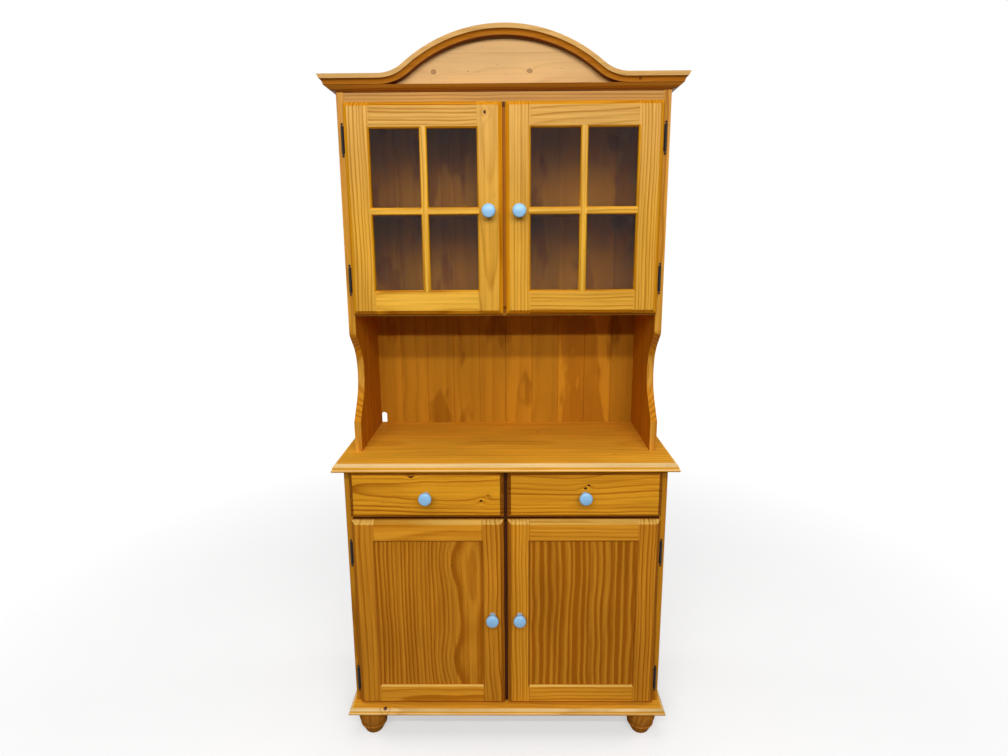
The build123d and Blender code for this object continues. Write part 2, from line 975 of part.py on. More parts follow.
def cabinet_leaf(door, z):
    """The fixed leaf: on the front edge of the side, then folded along its inner face."""
    x, y = door.hinge_x, door.hinge_y
    low, high = z - hinge_length / 2, z + hinge_length / 2
    clear_x = x - knuckle_radius - hinge_leaf_clearance
    fold_x = door.side_inner_x - hinge_leaf_thickness
    plate_y = door.carcass_y - hinge_leaf_thickness
    plate = block(fold_x, clear_x, plate_y, door.carcass_y, low, high)
    plate += block(fold_x, door.side_inner_x, plate_y, door.carcass_y + hinge_leaf_width, low, high)
    join_low, join_high = leaf_span(z, -1)
    plate += block(clear_x, x, plate_y, door.carcass_y, join_low, join_high)
    bore = rod(hinge_pin_radius + hinge_pin_clearance, (x, y, z), (0, 0, -hinge_pin_engagement))
    return plate + knuckle(x, y, z, -1) - bore


def door_leaf(door, z):
    """The leaf on the back of the door, which lifts off with it."""
    x, y = door.hinge_x, door.hinge_y
    low, high = z - hinge_length / 2, z + hinge_length / 2
    plate_y = door.rear_y + hinge_leaf_thickness
    plate = block(door.x1 - hinge_leaf_width, door.x1, door.rear_y, plate_y, low, high)
    join_low, join_high = leaf_span(z, 1)
    plate += block(door.x1, x, door.rear_y, plate_y, join_low, join_high)
    bore = rod(hinge_pin_radius + hinge_pin_clearance, (x, y, z), (0, 0, hinge_pin_engagement))
    return plate + knuckle(x, y, z, 1) - bore


# Catches

def catch(door, head_z):
    """A catch under the board above the opening, beside the centre post."""
    x0 = catch_from_centre
    front_y = door.rear_y + catch_plate_thickness + catch_gap
    return block(x0, x0 + catch_width, front_y, front_y + catch_depth, head_z - catch_height, head_z)


def catch_plate(door, head_z):
    """The steel plate on the back of the door that the catch holds."""
    x0 = catch_from_centre + catch_plate_margin
    x1 = catch_from_centre + catch_width - catch_plate_margin
    rear = door.rear_y + catch_plate_thickness
    return block(x0, x1, door.rear_y, rear, head_z - catch_height, head_z - catch_gap)


# Drawers, written for the right-hand one

drawer_x0 = board / 2 + drawer_side_clearance
drawer_x1 = base_inner - drawer_side_clearance
drawer_rear_face_y = base_front_y - front_standoff
drawer_front_y = drawer_rear_face_y - door_thickness
drawer_end_y = base_back_y - drawer_back_clearance
drawer_low_z = drawer_z + drawer_running_gap
drawer_high_z = drawer_low_z + drawer_box_height
drawer_bottom_z = drawer_low_z + drawer_bottom_lift
drawer_front_low_z = drawer_z - rail_lap
drawer_front_high_z = worktop_under_z - drawer_front_top_clearance
drawer_knob_x = (base_door.x0 + base_door.x1) / 2
drawer_knob_z = (drawer_front_low_z + drawer_front_high_z) / 2


def drawer_bottom():
    reach = drawer_bottom_groove - drawer_bottom_clearance
    return block(
        drawer_x0 + drawer_side_thickness - reach,
        drawer_x1 - drawer_side_thickness + reach,
        drawer_rear_face_y - reach,
        drawer_end_y,
        drawer_bottom_z,
        drawer_bottom_z + drawer_bottom_thickness,
    )


def bottom_groove():
    """The groove that the drawer's bottom slides into, from behind."""
    return block(
        drawer_x0 + drawer_side_thickness - drawer_bottom_groove,
        drawer_x1 - drawer_side_thickness + drawer_bottom_groove,
        drawer_rear_face_y - drawer_bottom_groove,
        drawer_end_y,
        drawer_bottom_z,
        drawer_bottom_z + drawer_bottom_thickness,
    )


def drawer_front():
    low_z, high_z = drawer_front_low_z, drawer_front_high_z
    slab = chamfered_slab(base_door.x0, base_door.x1, drawer_front_y, low_z, high_z)
    return slab - bottom_groove() - screw_bore(drawer_knob_x, drawer_front_y, drawer_knob_z)


def drawer_box():
    """Two sides and the back, which stands on the bottom board."""
    groove = bottom_groove()
    inner0 = drawer_x0 + drawer_side_thickness
    inner1 = drawer_x1 - drawer_side_thickness
    near = block(drawer_x0, inner0, drawer_rear_face_y, drawer_end_y, drawer_low_z, drawer_high_z)
    far = block(inner1, drawer_x1, drawer_rear_face_y, drawer_end_y, drawer_low_z, drawer_high_z)
    back_z = drawer_bottom_z + drawer_bottom_thickness
    back = block(inner0, inner1, drawer_end_y - drawer_side_thickness, drawer_end_y, back_z, drawer_high_z)
    return [near - groove, far - groove, back]


# Pieces that come in a left and a right copy

def write_pair(name, pieces):
    """The right-hand piece as it is written, and its mirror image on the left."""
    pieces = pieces if isinstance(pieces, list) else [pieces]
    write(name.replace("SIDE", "right"), pieces)
    write(name.replace("SIDE", "left"), [mirrored(piece) for piece in pieces])


write_pair("base_side_SIDE", base_side())
write_pair("hutch_side_SIDE", hutch_side())

base_stiles, base_rails, base_panel = panelled_door(base_door)
base_bore = screw_bore(base_door.knob_x, base_door.front_y, base_door.knob_z)
write_pair("base_door_SIDE_stiles", base_stiles - base_bore)
write_pair("base_door_SIDE_rails", base_rails)
write_pair("base_door_SIDE_panel", base_panel)

hutch_stiles, hutch_rails, hutch_glazing, hutch_glass = glazed_door(hutch_door)
hutch_bore = screw_bore(hutch_door.knob_x, hutch_door.front_y, hutch_door.knob_z)
write_pair("hutch_door_SIDE_stiles", hutch_stiles - hutch_bore)
write_pair("hutch_door_SIDE_rails", hutch_rails)
write_pair("hutch_door_SIDE_glazing_bars", hutch_glazing)
write_pair("hutch_door_SIDE_glass", hutch_glass)

for door, head_z, name in ((base_door, rail_z, "base_door"), (hutch_door, frieze_z, "hutch_door")):
    ironwork = [door_leaf(door, z) for z in door.hinge_zs]
    ironwork += [catch_plate(door, head_z), knob_screw(door.knob_x, door.front_y, door.knob_z)]
    write_pair(f"{name}_SIDE_ironwork", ironwork)
    write_pair(f"{name}_SIDE_knob", knob(door.knob_x, door.front_y, door.knob_z))

write_pair("drawer_SIDE_front", drawer_front())
write_pair("drawer_SIDE_box", drawer_box())
write_pair("drawer_SIDE_bottom", drawer_bottom())
write_pair("drawer_SIDE_knob", knob(drawer_knob_x, drawer_front_y, drawer_knob_z))
write_pair("drawer_SIDE_knob_screw", knob_screw(drawer_knob_x, drawer_front_y, drawer_knob_z))

# Pieces of the fixed cabinet that stand once, and groups of equal fittings

for row, row_y in foot_rows.items():
    write(f"bun_feet_{row}", foot_pair(row_y))
write("plinth_board", plinth_board())
write("base_back_panel", base_back_panel())
write("base_shelf", shelf(base_inner, base_shelf_front_y, base_back_y, base_shelf_z))
write("base_centre_post", centre_post(base_front_y, cupboard_z, rail_z, rail_z - post_notch_height))
write("drawer_rail", drawer_rail())
write("drawer_partition", drawer_partition())
write("drawer_runners", drawer_runners())
write("worktop", moulded_board(base_width + 2 * worktop_side_overhang, worktop_thickness, niche_z))
write("hutch_back_panel", hutch_back_panel())
write("hutch_bottom_board", hutch_bottom_board())
write("hutch_shelf", shelf(hutch_inner, hutch_shelf_front_y, hutch_back_y, hutch_shelf_z))
write("hutch_centre_post", centre_post(hutch_front_y, showcase_z, frieze_z, showcase_z))
write("hutch_top_rail", hutch_top_rail())
write("hutch_top_board", hutch_top_board())
write("pediment_panel", pediment_panel())
write("cornice_arch_moulding", cornice_arch_moulding())
write("cornice_bed_moulding", cornice_bed_moulding())
write("cornice_returns", both_sides(cornice_return()))
write("shelf_pins", shelf_pins())

hinge_places = [(door, z) for door in (base_door, hutch_door) for z in door.hinge_zs]
cabinet_leaves = [cabinet_leaf(door, z) for door, z in hinge_places]
pins = [hinge_pin(door, z) for door, z in hinge_places]
catches = [catch(base_door, rail_z), catch(hutch_door, frieze_z)]
write("hinge_cabinet_leaves", cabinet_leaves + [mirrored(leaf) for leaf in cabinet_leaves])
write("hinge_pins", pins + [mirrored(pin) for pin in pins])
write("door_catches", catches + [mirrored(piece) for piece in catches])
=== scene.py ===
"""The finishes, camera and light of a pine kitchen dresser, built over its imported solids."""

import json
import logging
from dataclasses import dataclass, field, replace
from enum import Enum
from functools import cache
from math import cos, pi, radians, sin
from typing import Any, ClassVar, Iterable

import bmesh
import bpy
from mathutils import Euler, Matrix, Vector


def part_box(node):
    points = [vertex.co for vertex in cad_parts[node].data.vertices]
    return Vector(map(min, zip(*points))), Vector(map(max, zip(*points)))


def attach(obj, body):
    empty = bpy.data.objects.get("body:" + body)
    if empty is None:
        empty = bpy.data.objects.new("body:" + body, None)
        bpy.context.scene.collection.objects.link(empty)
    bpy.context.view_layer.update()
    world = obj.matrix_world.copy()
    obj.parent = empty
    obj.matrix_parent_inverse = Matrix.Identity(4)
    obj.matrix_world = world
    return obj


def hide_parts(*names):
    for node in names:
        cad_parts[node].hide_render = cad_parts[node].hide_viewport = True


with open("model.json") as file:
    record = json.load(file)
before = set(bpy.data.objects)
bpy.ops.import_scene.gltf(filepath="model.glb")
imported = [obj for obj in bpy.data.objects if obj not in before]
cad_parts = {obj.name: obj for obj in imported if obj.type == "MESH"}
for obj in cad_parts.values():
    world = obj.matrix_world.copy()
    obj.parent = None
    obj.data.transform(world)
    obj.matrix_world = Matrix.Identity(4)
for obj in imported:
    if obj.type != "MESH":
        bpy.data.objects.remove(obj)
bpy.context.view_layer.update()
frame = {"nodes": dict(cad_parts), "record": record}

log = logging.getLogger("dresser")

Socket = bpy.types.NodeSocket
Material = bpy.types.Material
BMesh = bmesh.types.BMesh
Colour = tuple[float, float, float]
Point = tuple[float, float, float]

X_AXIS, Y_AXIS, Z_AXIS = range(3)
ORIGIN = (0.0, 0.0, 0.0)
WHITE = (1.0, 1.0, 1.0)
MIDDLE = (0.5, 0.5, 0.5)

# How far one step of a board's seed moves its figure, in metres.
SEED_SHIFT = (3.1, 7.7, 1.3)

# Where the seen faces lie, on which the knots are placed, in metres.
PEDIMENT_FACE = -0.085
GLAZED_FACE = -0.106
PANEL_FACE = -0.161
DRAWER_FACE = -0.173
WORKTOP_TOP = 0.819

# Vertices closer than this are one, and an edge shorter than this is a sliver, in metres.
SAME_PLACE = 1e-6
SLIVER = 2e-5

# How far two faces turn at most in a flat, and at least at a shaded crease and at a rounded arris.
FLAT_TURN = radians(0.4)
CREASE_TURN = radians(32)
ARRIS_TURN = radians(40)


class Graph:
    """A node tree with short ways to add nodes and join them."""

    def __init__(self, tree: bpy.types.NodeTree) -> None:
        """Keeps the tree that the nodes go into."""
        self.tree = tree

    def node(self, kind: str, values: dict[Any, Any] | None = None, **options: Any) -> bpy.types.Node:
        """Adds a node.

        Args:
            kind: the node's type, without its ShaderNode prefix.
            values: what each input holds, or the socket that it is joined to, or None to leave it.
            options: the node's own settings.

        Returns:
            The new node.
        """
        made = self.tree.nodes.new("ShaderNode" + kind)
        for option, value in options.items():
            setattr(made, option, value)
        for name, value in (values or {}).items():
            socket = made.inputs[name]
            if isinstance(value, Socket):
                self.tree.links.new(value, socket)
            elif value is not None:
                socket.default_value = (*value, 1.0) if socket.type == "RGBA" else value
        return made

    def math(self, operation: str, *terms: Any) -> Socket:
        """Returns the result of one sum on numbers."""
        return self.node("Math", dict(enumerate(terms)), operation=operation).outputs[0]

    def vector(self, operation: str, *terms: Any) -> Socket:
        """Returns the vector that one vector sum gives."""
        return self.node("VectorMath", dict(enumerate(terms)), operation=operation).outputs[0]

    def surface(self, sockets: dict[str, Any]) -> None:
        """Joins a Principled shader with these inputs to the material's output."""
        shader = self.node("BsdfPrincipled", sockets)
        self.node("OutputMaterial", {"Surface": shader.outputs[0]})

    def scaled(self, vector: Any, factor: Any) -> Socket:
        """Returns a vector multiplied by one number."""
        return self.node("VectorMath", {0: vector, "Scale": factor}, operation="SCALE").outputs[0]

    def length(self, vector: Socket) -> Socket:
        """Returns a vector's length."""
        return self.node("VectorMath", {0: vector}, operation="LENGTH").outputs["Value"]

    def axes(self, vector: Any) -> Any:
        """Returns a vector's three parts."""
        return self.node("SeparateXYZ", {0: vector}).outputs

    def step(self, value: Any, low: Any, high: Any, start: float = 0.0, end: float = 1.0) -> Socket:
        """Returns a smooth rise from start at low to end at high."""
        sockets = {0: value, 1: low, 2: high, 3: start, 4: end}
        return self.node("MapRange", sockets, interpolation_type="SMOOTHSTEP").outputs[0]

    def drop(self, value: Any, low: Any, high: Any) -> Socket:
        """Returns a smooth drop from 1 at low to 0 at high."""
        return self.step(value, low, high, 1.0, 0.0)

    def blend(self, share: Any, first: Any, second: Any, how: str = "MIX") -> Socket:
        """Returns two colours mixed by a share."""
        sockets = {0: share, 6: first, 7: second}
        return self.node("Mix", sockets, data_type="RGBA", blend_type=how).outputs[2]

    def shaded(self, colour: Any, shade: Any) -> Socket:
        """Returns a colour made darker or lighter by one number."""
        grey = self.node("CombineColor", {0: shade, 1: shade, 2: shade}).outputs[0]
        return self.blend(1.0, colour, grey, "MULTIPLY")

    def chance(self, number: Any) -> Socket:
        """Returns a value from 0 to 1 that a whole number fixes."""
        return self.node("TexWhiteNoise", {"W": number}, noise_dimensions="1D").outputs["Value"]

    def noise(self, place: Any, detail: float = 2.0, roughness: float = 0.5, scale: float = 1.0) -> Any:
        """Returns a noise node."""
        sockets = {"Vector": place, "Scale": scale, "Detail": detail, "Roughness": roughness}
        return self.node("TexNoise", sockets)

    def cloud(self, place: Any, figure: Enum, detail: float = 2.0, roughness: float = 0.5) -> Socket:
        """Returns the value of a noise that repeats as often as the figure."""
        return self.noise(self.vector("MULTIPLY", place, figure.value), detail, roughness).outputs[0]


def cleared(block: Material | bpy.types.World) -> Graph:
    """Gives a material or world an empty graph and returns it."""
    block.use_nodes = True
    block.node_tree.nodes.clear()
    return Graph(block.node_tree)


class Group:
    """A shader node group while it is being filled."""

    KINDS = {float: "NodeSocketFloat", tuple: "NodeSocketVector", str: "NodeSocketColor"}

    def __init__(self, name: str, takes: dict[str, Any], gives: dict[str, type]) -> None:
        """Makes the group with its sockets.

        Args:
            name: the group's name.
            takes: each input with its value at rest; a text value makes a colour socket.
            gives: each output with its kind.
        """
        self.tree = bpy.data.node_groups.new(name, "ShaderNodeTree")
        self.graph = Graph(self.tree)
        for title, value in takes.items():
            kind = self.KINDS[type(value)]
            socket = self.tree.interface.new_socket(title, in_out="INPUT", socket_type=kind)
            if not isinstance(value, str):
                socket.default_value = value
        for title, kind in gives.items():
            self.tree.interface.new_socket(title, in_out="OUTPUT", socket_type=self.KINDS[kind])
        self.takes = self.tree.nodes.new("NodeGroupInput").outputs
        self.gives = self.tree.nodes.new("NodeGroupOutput").inputs

    def close(self, **results: Socket) -> bpy.types.NodeTree:
        """Joins the results to the outputs and returns the finished tree."""
        for title, socket in results.items():
            self.tree.links.new(socket, self.gives[title])
        return self.tree


class Rate(Enum):
    """How often each figure of the wood repeats in a metre: across, through and along the grain."""

    DRIFT = (6.0, 6.0, 3.6)
    FLUTTER = (24.0, 24.0, 13.0)
    FIBRE = (900.0, 900.0, 11.0)
    STREAK = (150.0, 150.0, 2.6)
    MOTTLE = (11.0, 11.0, 3.0)
    FLECK = (480.0, 480.0, 60.0)
    PATCH = (8.0, 8.0, 3.0)
    KNOT = (260.0, 260.0, 260.0)
    WEAR = (60.0, 60.0, 60.0)


@cache
def growth_rings() -> bpy.types.NodeTree:
    """Builds the figure of sawn pine: rings about the heart line, which runs along local Z.

    Returns:
        A group that gives colour, roughness and height.
    """
    kinds = ("Ring", "Wander", "Lean", "Sharpness", "Peak", "Contrast", "Seed", "Swell", "Blotch", "Streak")
    takes = {"Vector": ORIGIN, "Early": "colour", "Late": "colour", **dict.fromkeys(kinds, 0.0)}
    group = Group("growth_rings", takes, {"Color": str, "Roughness": float, "Height": float})
    g, take = group.graph, group.takes
    place = take["Vector"]
    shifted = g.vector("ADD", place, g.vector("MULTIPLY", take["Seed"], SEED_SHIFT))
    # The heart line drifts and flutters, and lies a little askew.
    slow = g.noise(g.vector("MULTIPLY", shifted, Rate.DRIFT.value), 1.0).outputs["Color"]
    quick = g.noise(g.vector("MULTIPLY", shifted, Rate.FLUTTER.value)).outputs["Color"]
    drift = g.scaled(g.vector("SUBTRACT", slow, MIDDLE), 5.0)
    wander = g.vector("ADD", drift, g.vector("SUBTRACT", quick, MIDDLE))
    axes = g.axes(g.vector("ADD", place, g.scaled(wander, take["Wander"])))
    deep = g.math("MULTIPLY_ADD", axes[Z_AXIS], take["Lean"], axes[Y_AXIS])
    flat = g.node("CombineXYZ", {0: axes[X_AXIS], 1: deep}).outputs[0]
    radius = g.math("DIVIDE", g.length(flat), take["Ring"])
    # Years differ in width, and each rises to its dark late wood and drops at once.
    spot = g.node("CombineXYZ", {0: g.math("MULTIPLY", radius, 0.55), 1: take["Seed"]}).outputs[0]
    uneven = g.noise(spot, 1.0).outputs[0]
    phase = g.math("MULTIPLY_ADD", uneven, 1.3, g.math("ADD", radius, take["Swell"]))
    within = g.math("FRACT", phase)
    year_tone = g.chance(g.math("ADD", g.math("FLOOR", phase), take["Seed"]))
    climb = g.math("MINIMUM", g.math("DIVIDE", within, take["Peak"]), 1.0)
    rise = g.math("POWER", climb, take["Sharpness"])
    band = g.math("MULTIPLY", rise, g.drop(within, take["Peak"], 1.0))
    band = g.math("MULTIPLY", band, g.math("ADD", year_tone, 0.6))
    # Fibres, streaks, flecks and patches lie over the years.
    fibre = g.cloud(shifted, Rate.FIBRE, 3.0, 0.65)
    streak = g.cloud(shifted, Rate.STREAK, 3.0, 0.6)
    mottle = g.cloud(shifted, Rate.MOTTLE, 3.0, 0.55)
    fleck = g.step(g.cloud(shifted, Rate.FLECK, 1.0), 0.7, 0.78)
    patch = g.step(g.cloud(shifted, Rate.PATCH, 3.0, 0.55), 0.53, 0.575)
    share = g.math("MULTIPLY", band, take["Contrast"])
    threads = g.math("MULTIPLY_ADD", fibre, 0.6, -0.22)
    lines = g.math("ADD", threads, g.math("MULTIPLY_ADD", streak, 1.5, -0.7))
    share = g.math("MULTIPLY_ADD", lines, take["Streak"], share)
    share = g.math("MULTIPLY_ADD", patch, take["Blotch"], share)
    share = g.node("Clamp", {0: share}).outputs[0]
    shade = g.math("MULTIPLY_ADD", mottle, 0.55, 0.725)
    shade = g.math("SUBTRACT", shade, g.math("MULTIPLY", fleck, 0.22))
    colour = g.shaded(g.blend(share, take["Early"], take["Late"]), shade)
    rough = g.math("MULTIPLY_ADD", mottle, 0.16, 0.3)
    rough = g.math("MULTIPLY_ADD", fibre, 0.08, rough)
    height = g.math("MULTIPLY_ADD", band, 0.5, g.math("MULTIPLY", fibre, 0.5))
    height = g.math("SUBTRACT", height, g.math("MULTIPLY", fleck, 0.7))
    return group.close(Color=colour, Roughness=rough, Height=height)


@cache
def knot_figure() -> bpy.types.NodeTree:
    """Builds one knot: its dark core and how far it makes the rings about it swell.

    Returns:
        A group that gives the core's mask and the swelling, each added to those of earlier knots.
    """
    takes = {"Vector": ORIGIN, "Place": ORIGIN, "Closeness": ORIGIN}
    takes |= dict.fromkeys(("Strength", "Bulge", "Core", "Swell"), 0.0)
    group = Group("knot_figure", takes, {"Core": float, "Swell": float})
    g, take = group.graph, group.takes
    away = g.vector("MULTIPLY", g.vector("SUBTRACT", take["Vector"], take["Place"]), take["Closeness"])
    ragged = g.cloud(take["Vector"], Rate.KNOT)
    distance = g.math("ADD", g.length(away), g.math("MULTIPLY_ADD", ragged, 0.7, -0.35))
    # The core shows fine rings and has a darker rim.
    rings = g.math("MULTIPLY_ADD", g.math("SINE", g.math("MULTIPLY", distance, 14.0)), 0.14, 0.72)
    core = g.math("MULTIPLY", g.drop(distance, 0.72, 1.12), rings)
    rim = g.math("MULTIPLY", g.step(distance, 0.6, 0.86), g.drop(distance, 0.92, 1.25))
    core = g.math("MULTIPLY", g.math("ADD", core, g.math("MULTIPLY", rim, 0.5)), take["Strength"])
    core = g.math("MAXIMUM", take["Core"], core)
    fall = g.math("DIVIDE", 2.4, g.math("MULTIPLY_ADD", distance, g.math("MULTIPLY", distance, 0.22), 1.0))
    swell = g.math("MULTIPLY_ADD", fall, take["Bulge"], take["Swell"])
    return group.close(Core=core, Swell=swell)


@cache
def painted_facing_light() -> bpy.types.NodeTree:
    """Builds the painted light and shade that go by facing: on up-facing slopes, undersides, sides and upper
    front faces.

    Returns:
        A group that tints a colour by the surface's facing and height, and gives the mask of sides.
    """
    takes = {"Vector": ORIGIN, **dict.fromkeys(("Color", "Rise", "Underside Shade", "Side Shade", "Top Sheen"), "colour")}
    group = Group("painted_facing_light", takes, {"Color": str, "Sides": float})
    g, take = group.graph, group.takes
    facing = g.axes(g.node("TexCoord").outputs["Normal"])
    frontal, upward = facing[Y_AXIS], facing[Z_AXIS]
    height = g.axes(take["Vector"])[Z_AXIS]
    # Up-facing slopes take a painted highlight, or on some tones a painted shade, and undersides take a
    # painted shade.
    rise = g.math("MULTIPLY", g.step(upward, 0.22, 0.45), g.drop(upward, 0.93, 0.985))
    fall = g.drop(upward, -0.75, -0.45)
    level = g.math("SUBTRACT", 1.0, g.math("MAXIMUM", rise, fall))
    # Painted shade darkens the sides turned away from the front, and a painted sheen makes the front faces
    # paler towards the top.
    side_shade = g.math("MULTIPLY", level, g.drop(g.math("ABSOLUTE", frontal), 0.86, 0.97))
    top_sheen = g.math("MULTIPLY", g.step(height, 1.38, 1.76), g.drop(frontal, -0.95, -0.8))
    colour = take["Color"]
    for share, tint in ((rise, "Rise"), (fall, "Underside Shade"), (side_shade, "Side Shade"), (top_sheen, "Top Sheen")):
        colour = g.blend(share, colour, take[tint], "MULTIPLY")
    return group.close(Color=colour, Sides=side_shade)


@cache
def worn_and_highlit_edges() -> bpy.types.NodeTree:
    """Builds the mask of the arrises that are made lighter, as rubbed wear and as a painted highlight.

    Returns:
        A group that gives 1 on an arris and 0 on a flat, broken up by noise.
    """
    group = Group("worn_and_highlit_edges", {"Vector": ORIGIN}, {"Edge": float})
    g, take = group.graph, group.takes
    rounded = g.node("Bevel", {"Radius": 0.0014}, samples=4).outputs[0]
    plain = g.node("NewGeometry").outputs["Normal"]
    alike = g.node("VectorMath", {0: rounded, 1: plain}, operation="DOT_PRODUCT").outputs["Value"]
    edge = g.step(g.math("SUBTRACT", 1.0, alike), 0.01, 0.16)
    patchy = g.step(g.cloud(take["Vector"], Rate.WEAR, 3.0), 0.35, 0.65)
    return group.close(Edge=g.math("MULTIPLY", edge, patchy))


class Grain(Enum):
    """Which axis a board's grain runs along, from X to Z, as the turn that lays it along local Z."""

    ACROSS = (0.0, -pi / 2, 0.0)
    DEEP = (pi / 2, 0.0, 0.0)
    UPRIGHT = (0.0, 0.0, 0.0)


@dataclass(frozen=True)
class Tone:
    """A pine's colour in its early and late wood and its knots, and the painted light and shade tints of its
    slopes, undersides, sides and upper front faces.
    """

    early: Colour
    late: Colour
    knot: Colour = (0.1, 0.03, 0.008)
    rise: Colour = WHITE
    fall: Colour = WHITE
    side_shade: Colour = WHITE
    top_sheen: Colour = WHITE


# The rise, fall, side and top tints are painted light by facing: the rise tint paints a highlight on
# up-facing slopes, and on HONEY and FRONT a shade; the fall tint paints shade on undersides; the side tint
# paints shade on sides turned from the front; the top tint paints a sheen on upper front faces.
HONEY = Tone(
    (0.84, 0.43, 0.05), (0.5, 0.19, 0.008),
    rise=(0.95, 0.78, 0.3), fall=(0.9, 0.7, 0.2), side_shade=(0.98, 0.83, 0.15), top_sheen=(1.0, 1.08, 2.2),
)
# The next two tones are paler copies of the pine; their pale haze is a painted sheen on the crown.
PALE_SHEEN = Tone((0.81, 0.475, 0.175), (0.62, 0.32, 0.092), (0.32, 0.14, 0.045))
BRIM_SHEEN = Tone((0.91, 0.53, 0.18), (0.7, 0.38, 0.1), (0.34, 0.15, 0.05), fall=(0.45, 0.36, 0.2))
RUSSET = Tone((0.66, 0.34, 0.085), (0.45, 0.205, 0.045))
AMBER = Tone(
    (0.7, 0.275, 0.018), (0.4, 0.118, 0.003),
    rise=(1.2, 1.8, 6.0), fall=(0.8, 0.7, 0.6), side_shade=(0.75, 0.66, 0.6),
)
MAPLE = Tone(
    (0.88, 0.375, 0.026), (0.56, 0.18, 0.005),
    rise=(1.02, 1.45, 4.6), fall=(0.7, 0.6, 0.5), side_shade=(0.62, 0.54, 0.5),
)
GOLD = Tone((0.9, 0.415, 0.028), (0.62, 0.225, 0.007), rise=(1.05, 1.6, 11.0), fall=(0.8, 0.62, 0.4))
FRONT = Tone(
    (0.92, 0.405, 0.02), (0.48, 0.15, 0.004), (0.05, 0.014, 0.004),
    rise=(0.55, 0.44, 0.5), fall=(0.7, 0.6, 0.5), side_shade=(0.42, 0.32, 0.4),
)
TOFFEE = Tone((0.48, 0.2, 0.022), (0.3, 0.1, 0.007))
BACKING = Tone((0.62, 0.255, 0.014), (0.41, 0.145, 0.006))
BUN = Tone((0.54, 0.195, 0.018), (0.3, 0.092, 0.007))
# The next two tones are darker copies of the pine, painted shade: the first on the moulding under the
# cornice and the hutch's centre post, the second on the rail, post and partition seen in the base's gaps.
COVE_SHADE = Tone((0.54, 0.195, 0.016), (0.38, 0.12, 0.007))
GAP_SHADE = Tone((0.085, 0.025, 0.007), (0.06, 0.017, 0.005))
LATH = replace(HONEY, early=(0.98, 0.53, 0.06))
FLANK = replace(
    HONEY, early=(0.76, 0.365, 0.045), late=(0.48, 0.18, 0.01),
    side_shade=(0.85, 0.68, 0.16), top_sheen=(1.0, 1.0, 1.5),
)


# How far a knot reaches into its board and half the width of a band's soft edge, in metres.
KNOT_DEPTH = 0.12
BAND_EDGE = 0.0004

# What the arrises are multiplied by, a lightening that is partly rubbed wear and partly a painted highlight,
# and how much rougher a board's narrow sides are.
WEAR_AND_HIGHLIGHT_TINT = (1.25, 1.32, 1.5)
SIDE_ROUGHNESS = 0.45


@dataclass(frozen=True)
class Knot:
    """A knot in a board: its place, its two radii on the face and how dark it is."""

    place: Point
    across: float
    along: float
    strength: float = 1.0
    swell: float = 1.0


@dataclass(frozen=True)
class ShadeAndJointBand:
    """A darker band of a board, by its distance from a middle plane, used for painted shade and for a joint
    line.
    """

    axis: int
    low: float
    high: float
    tint: Colour


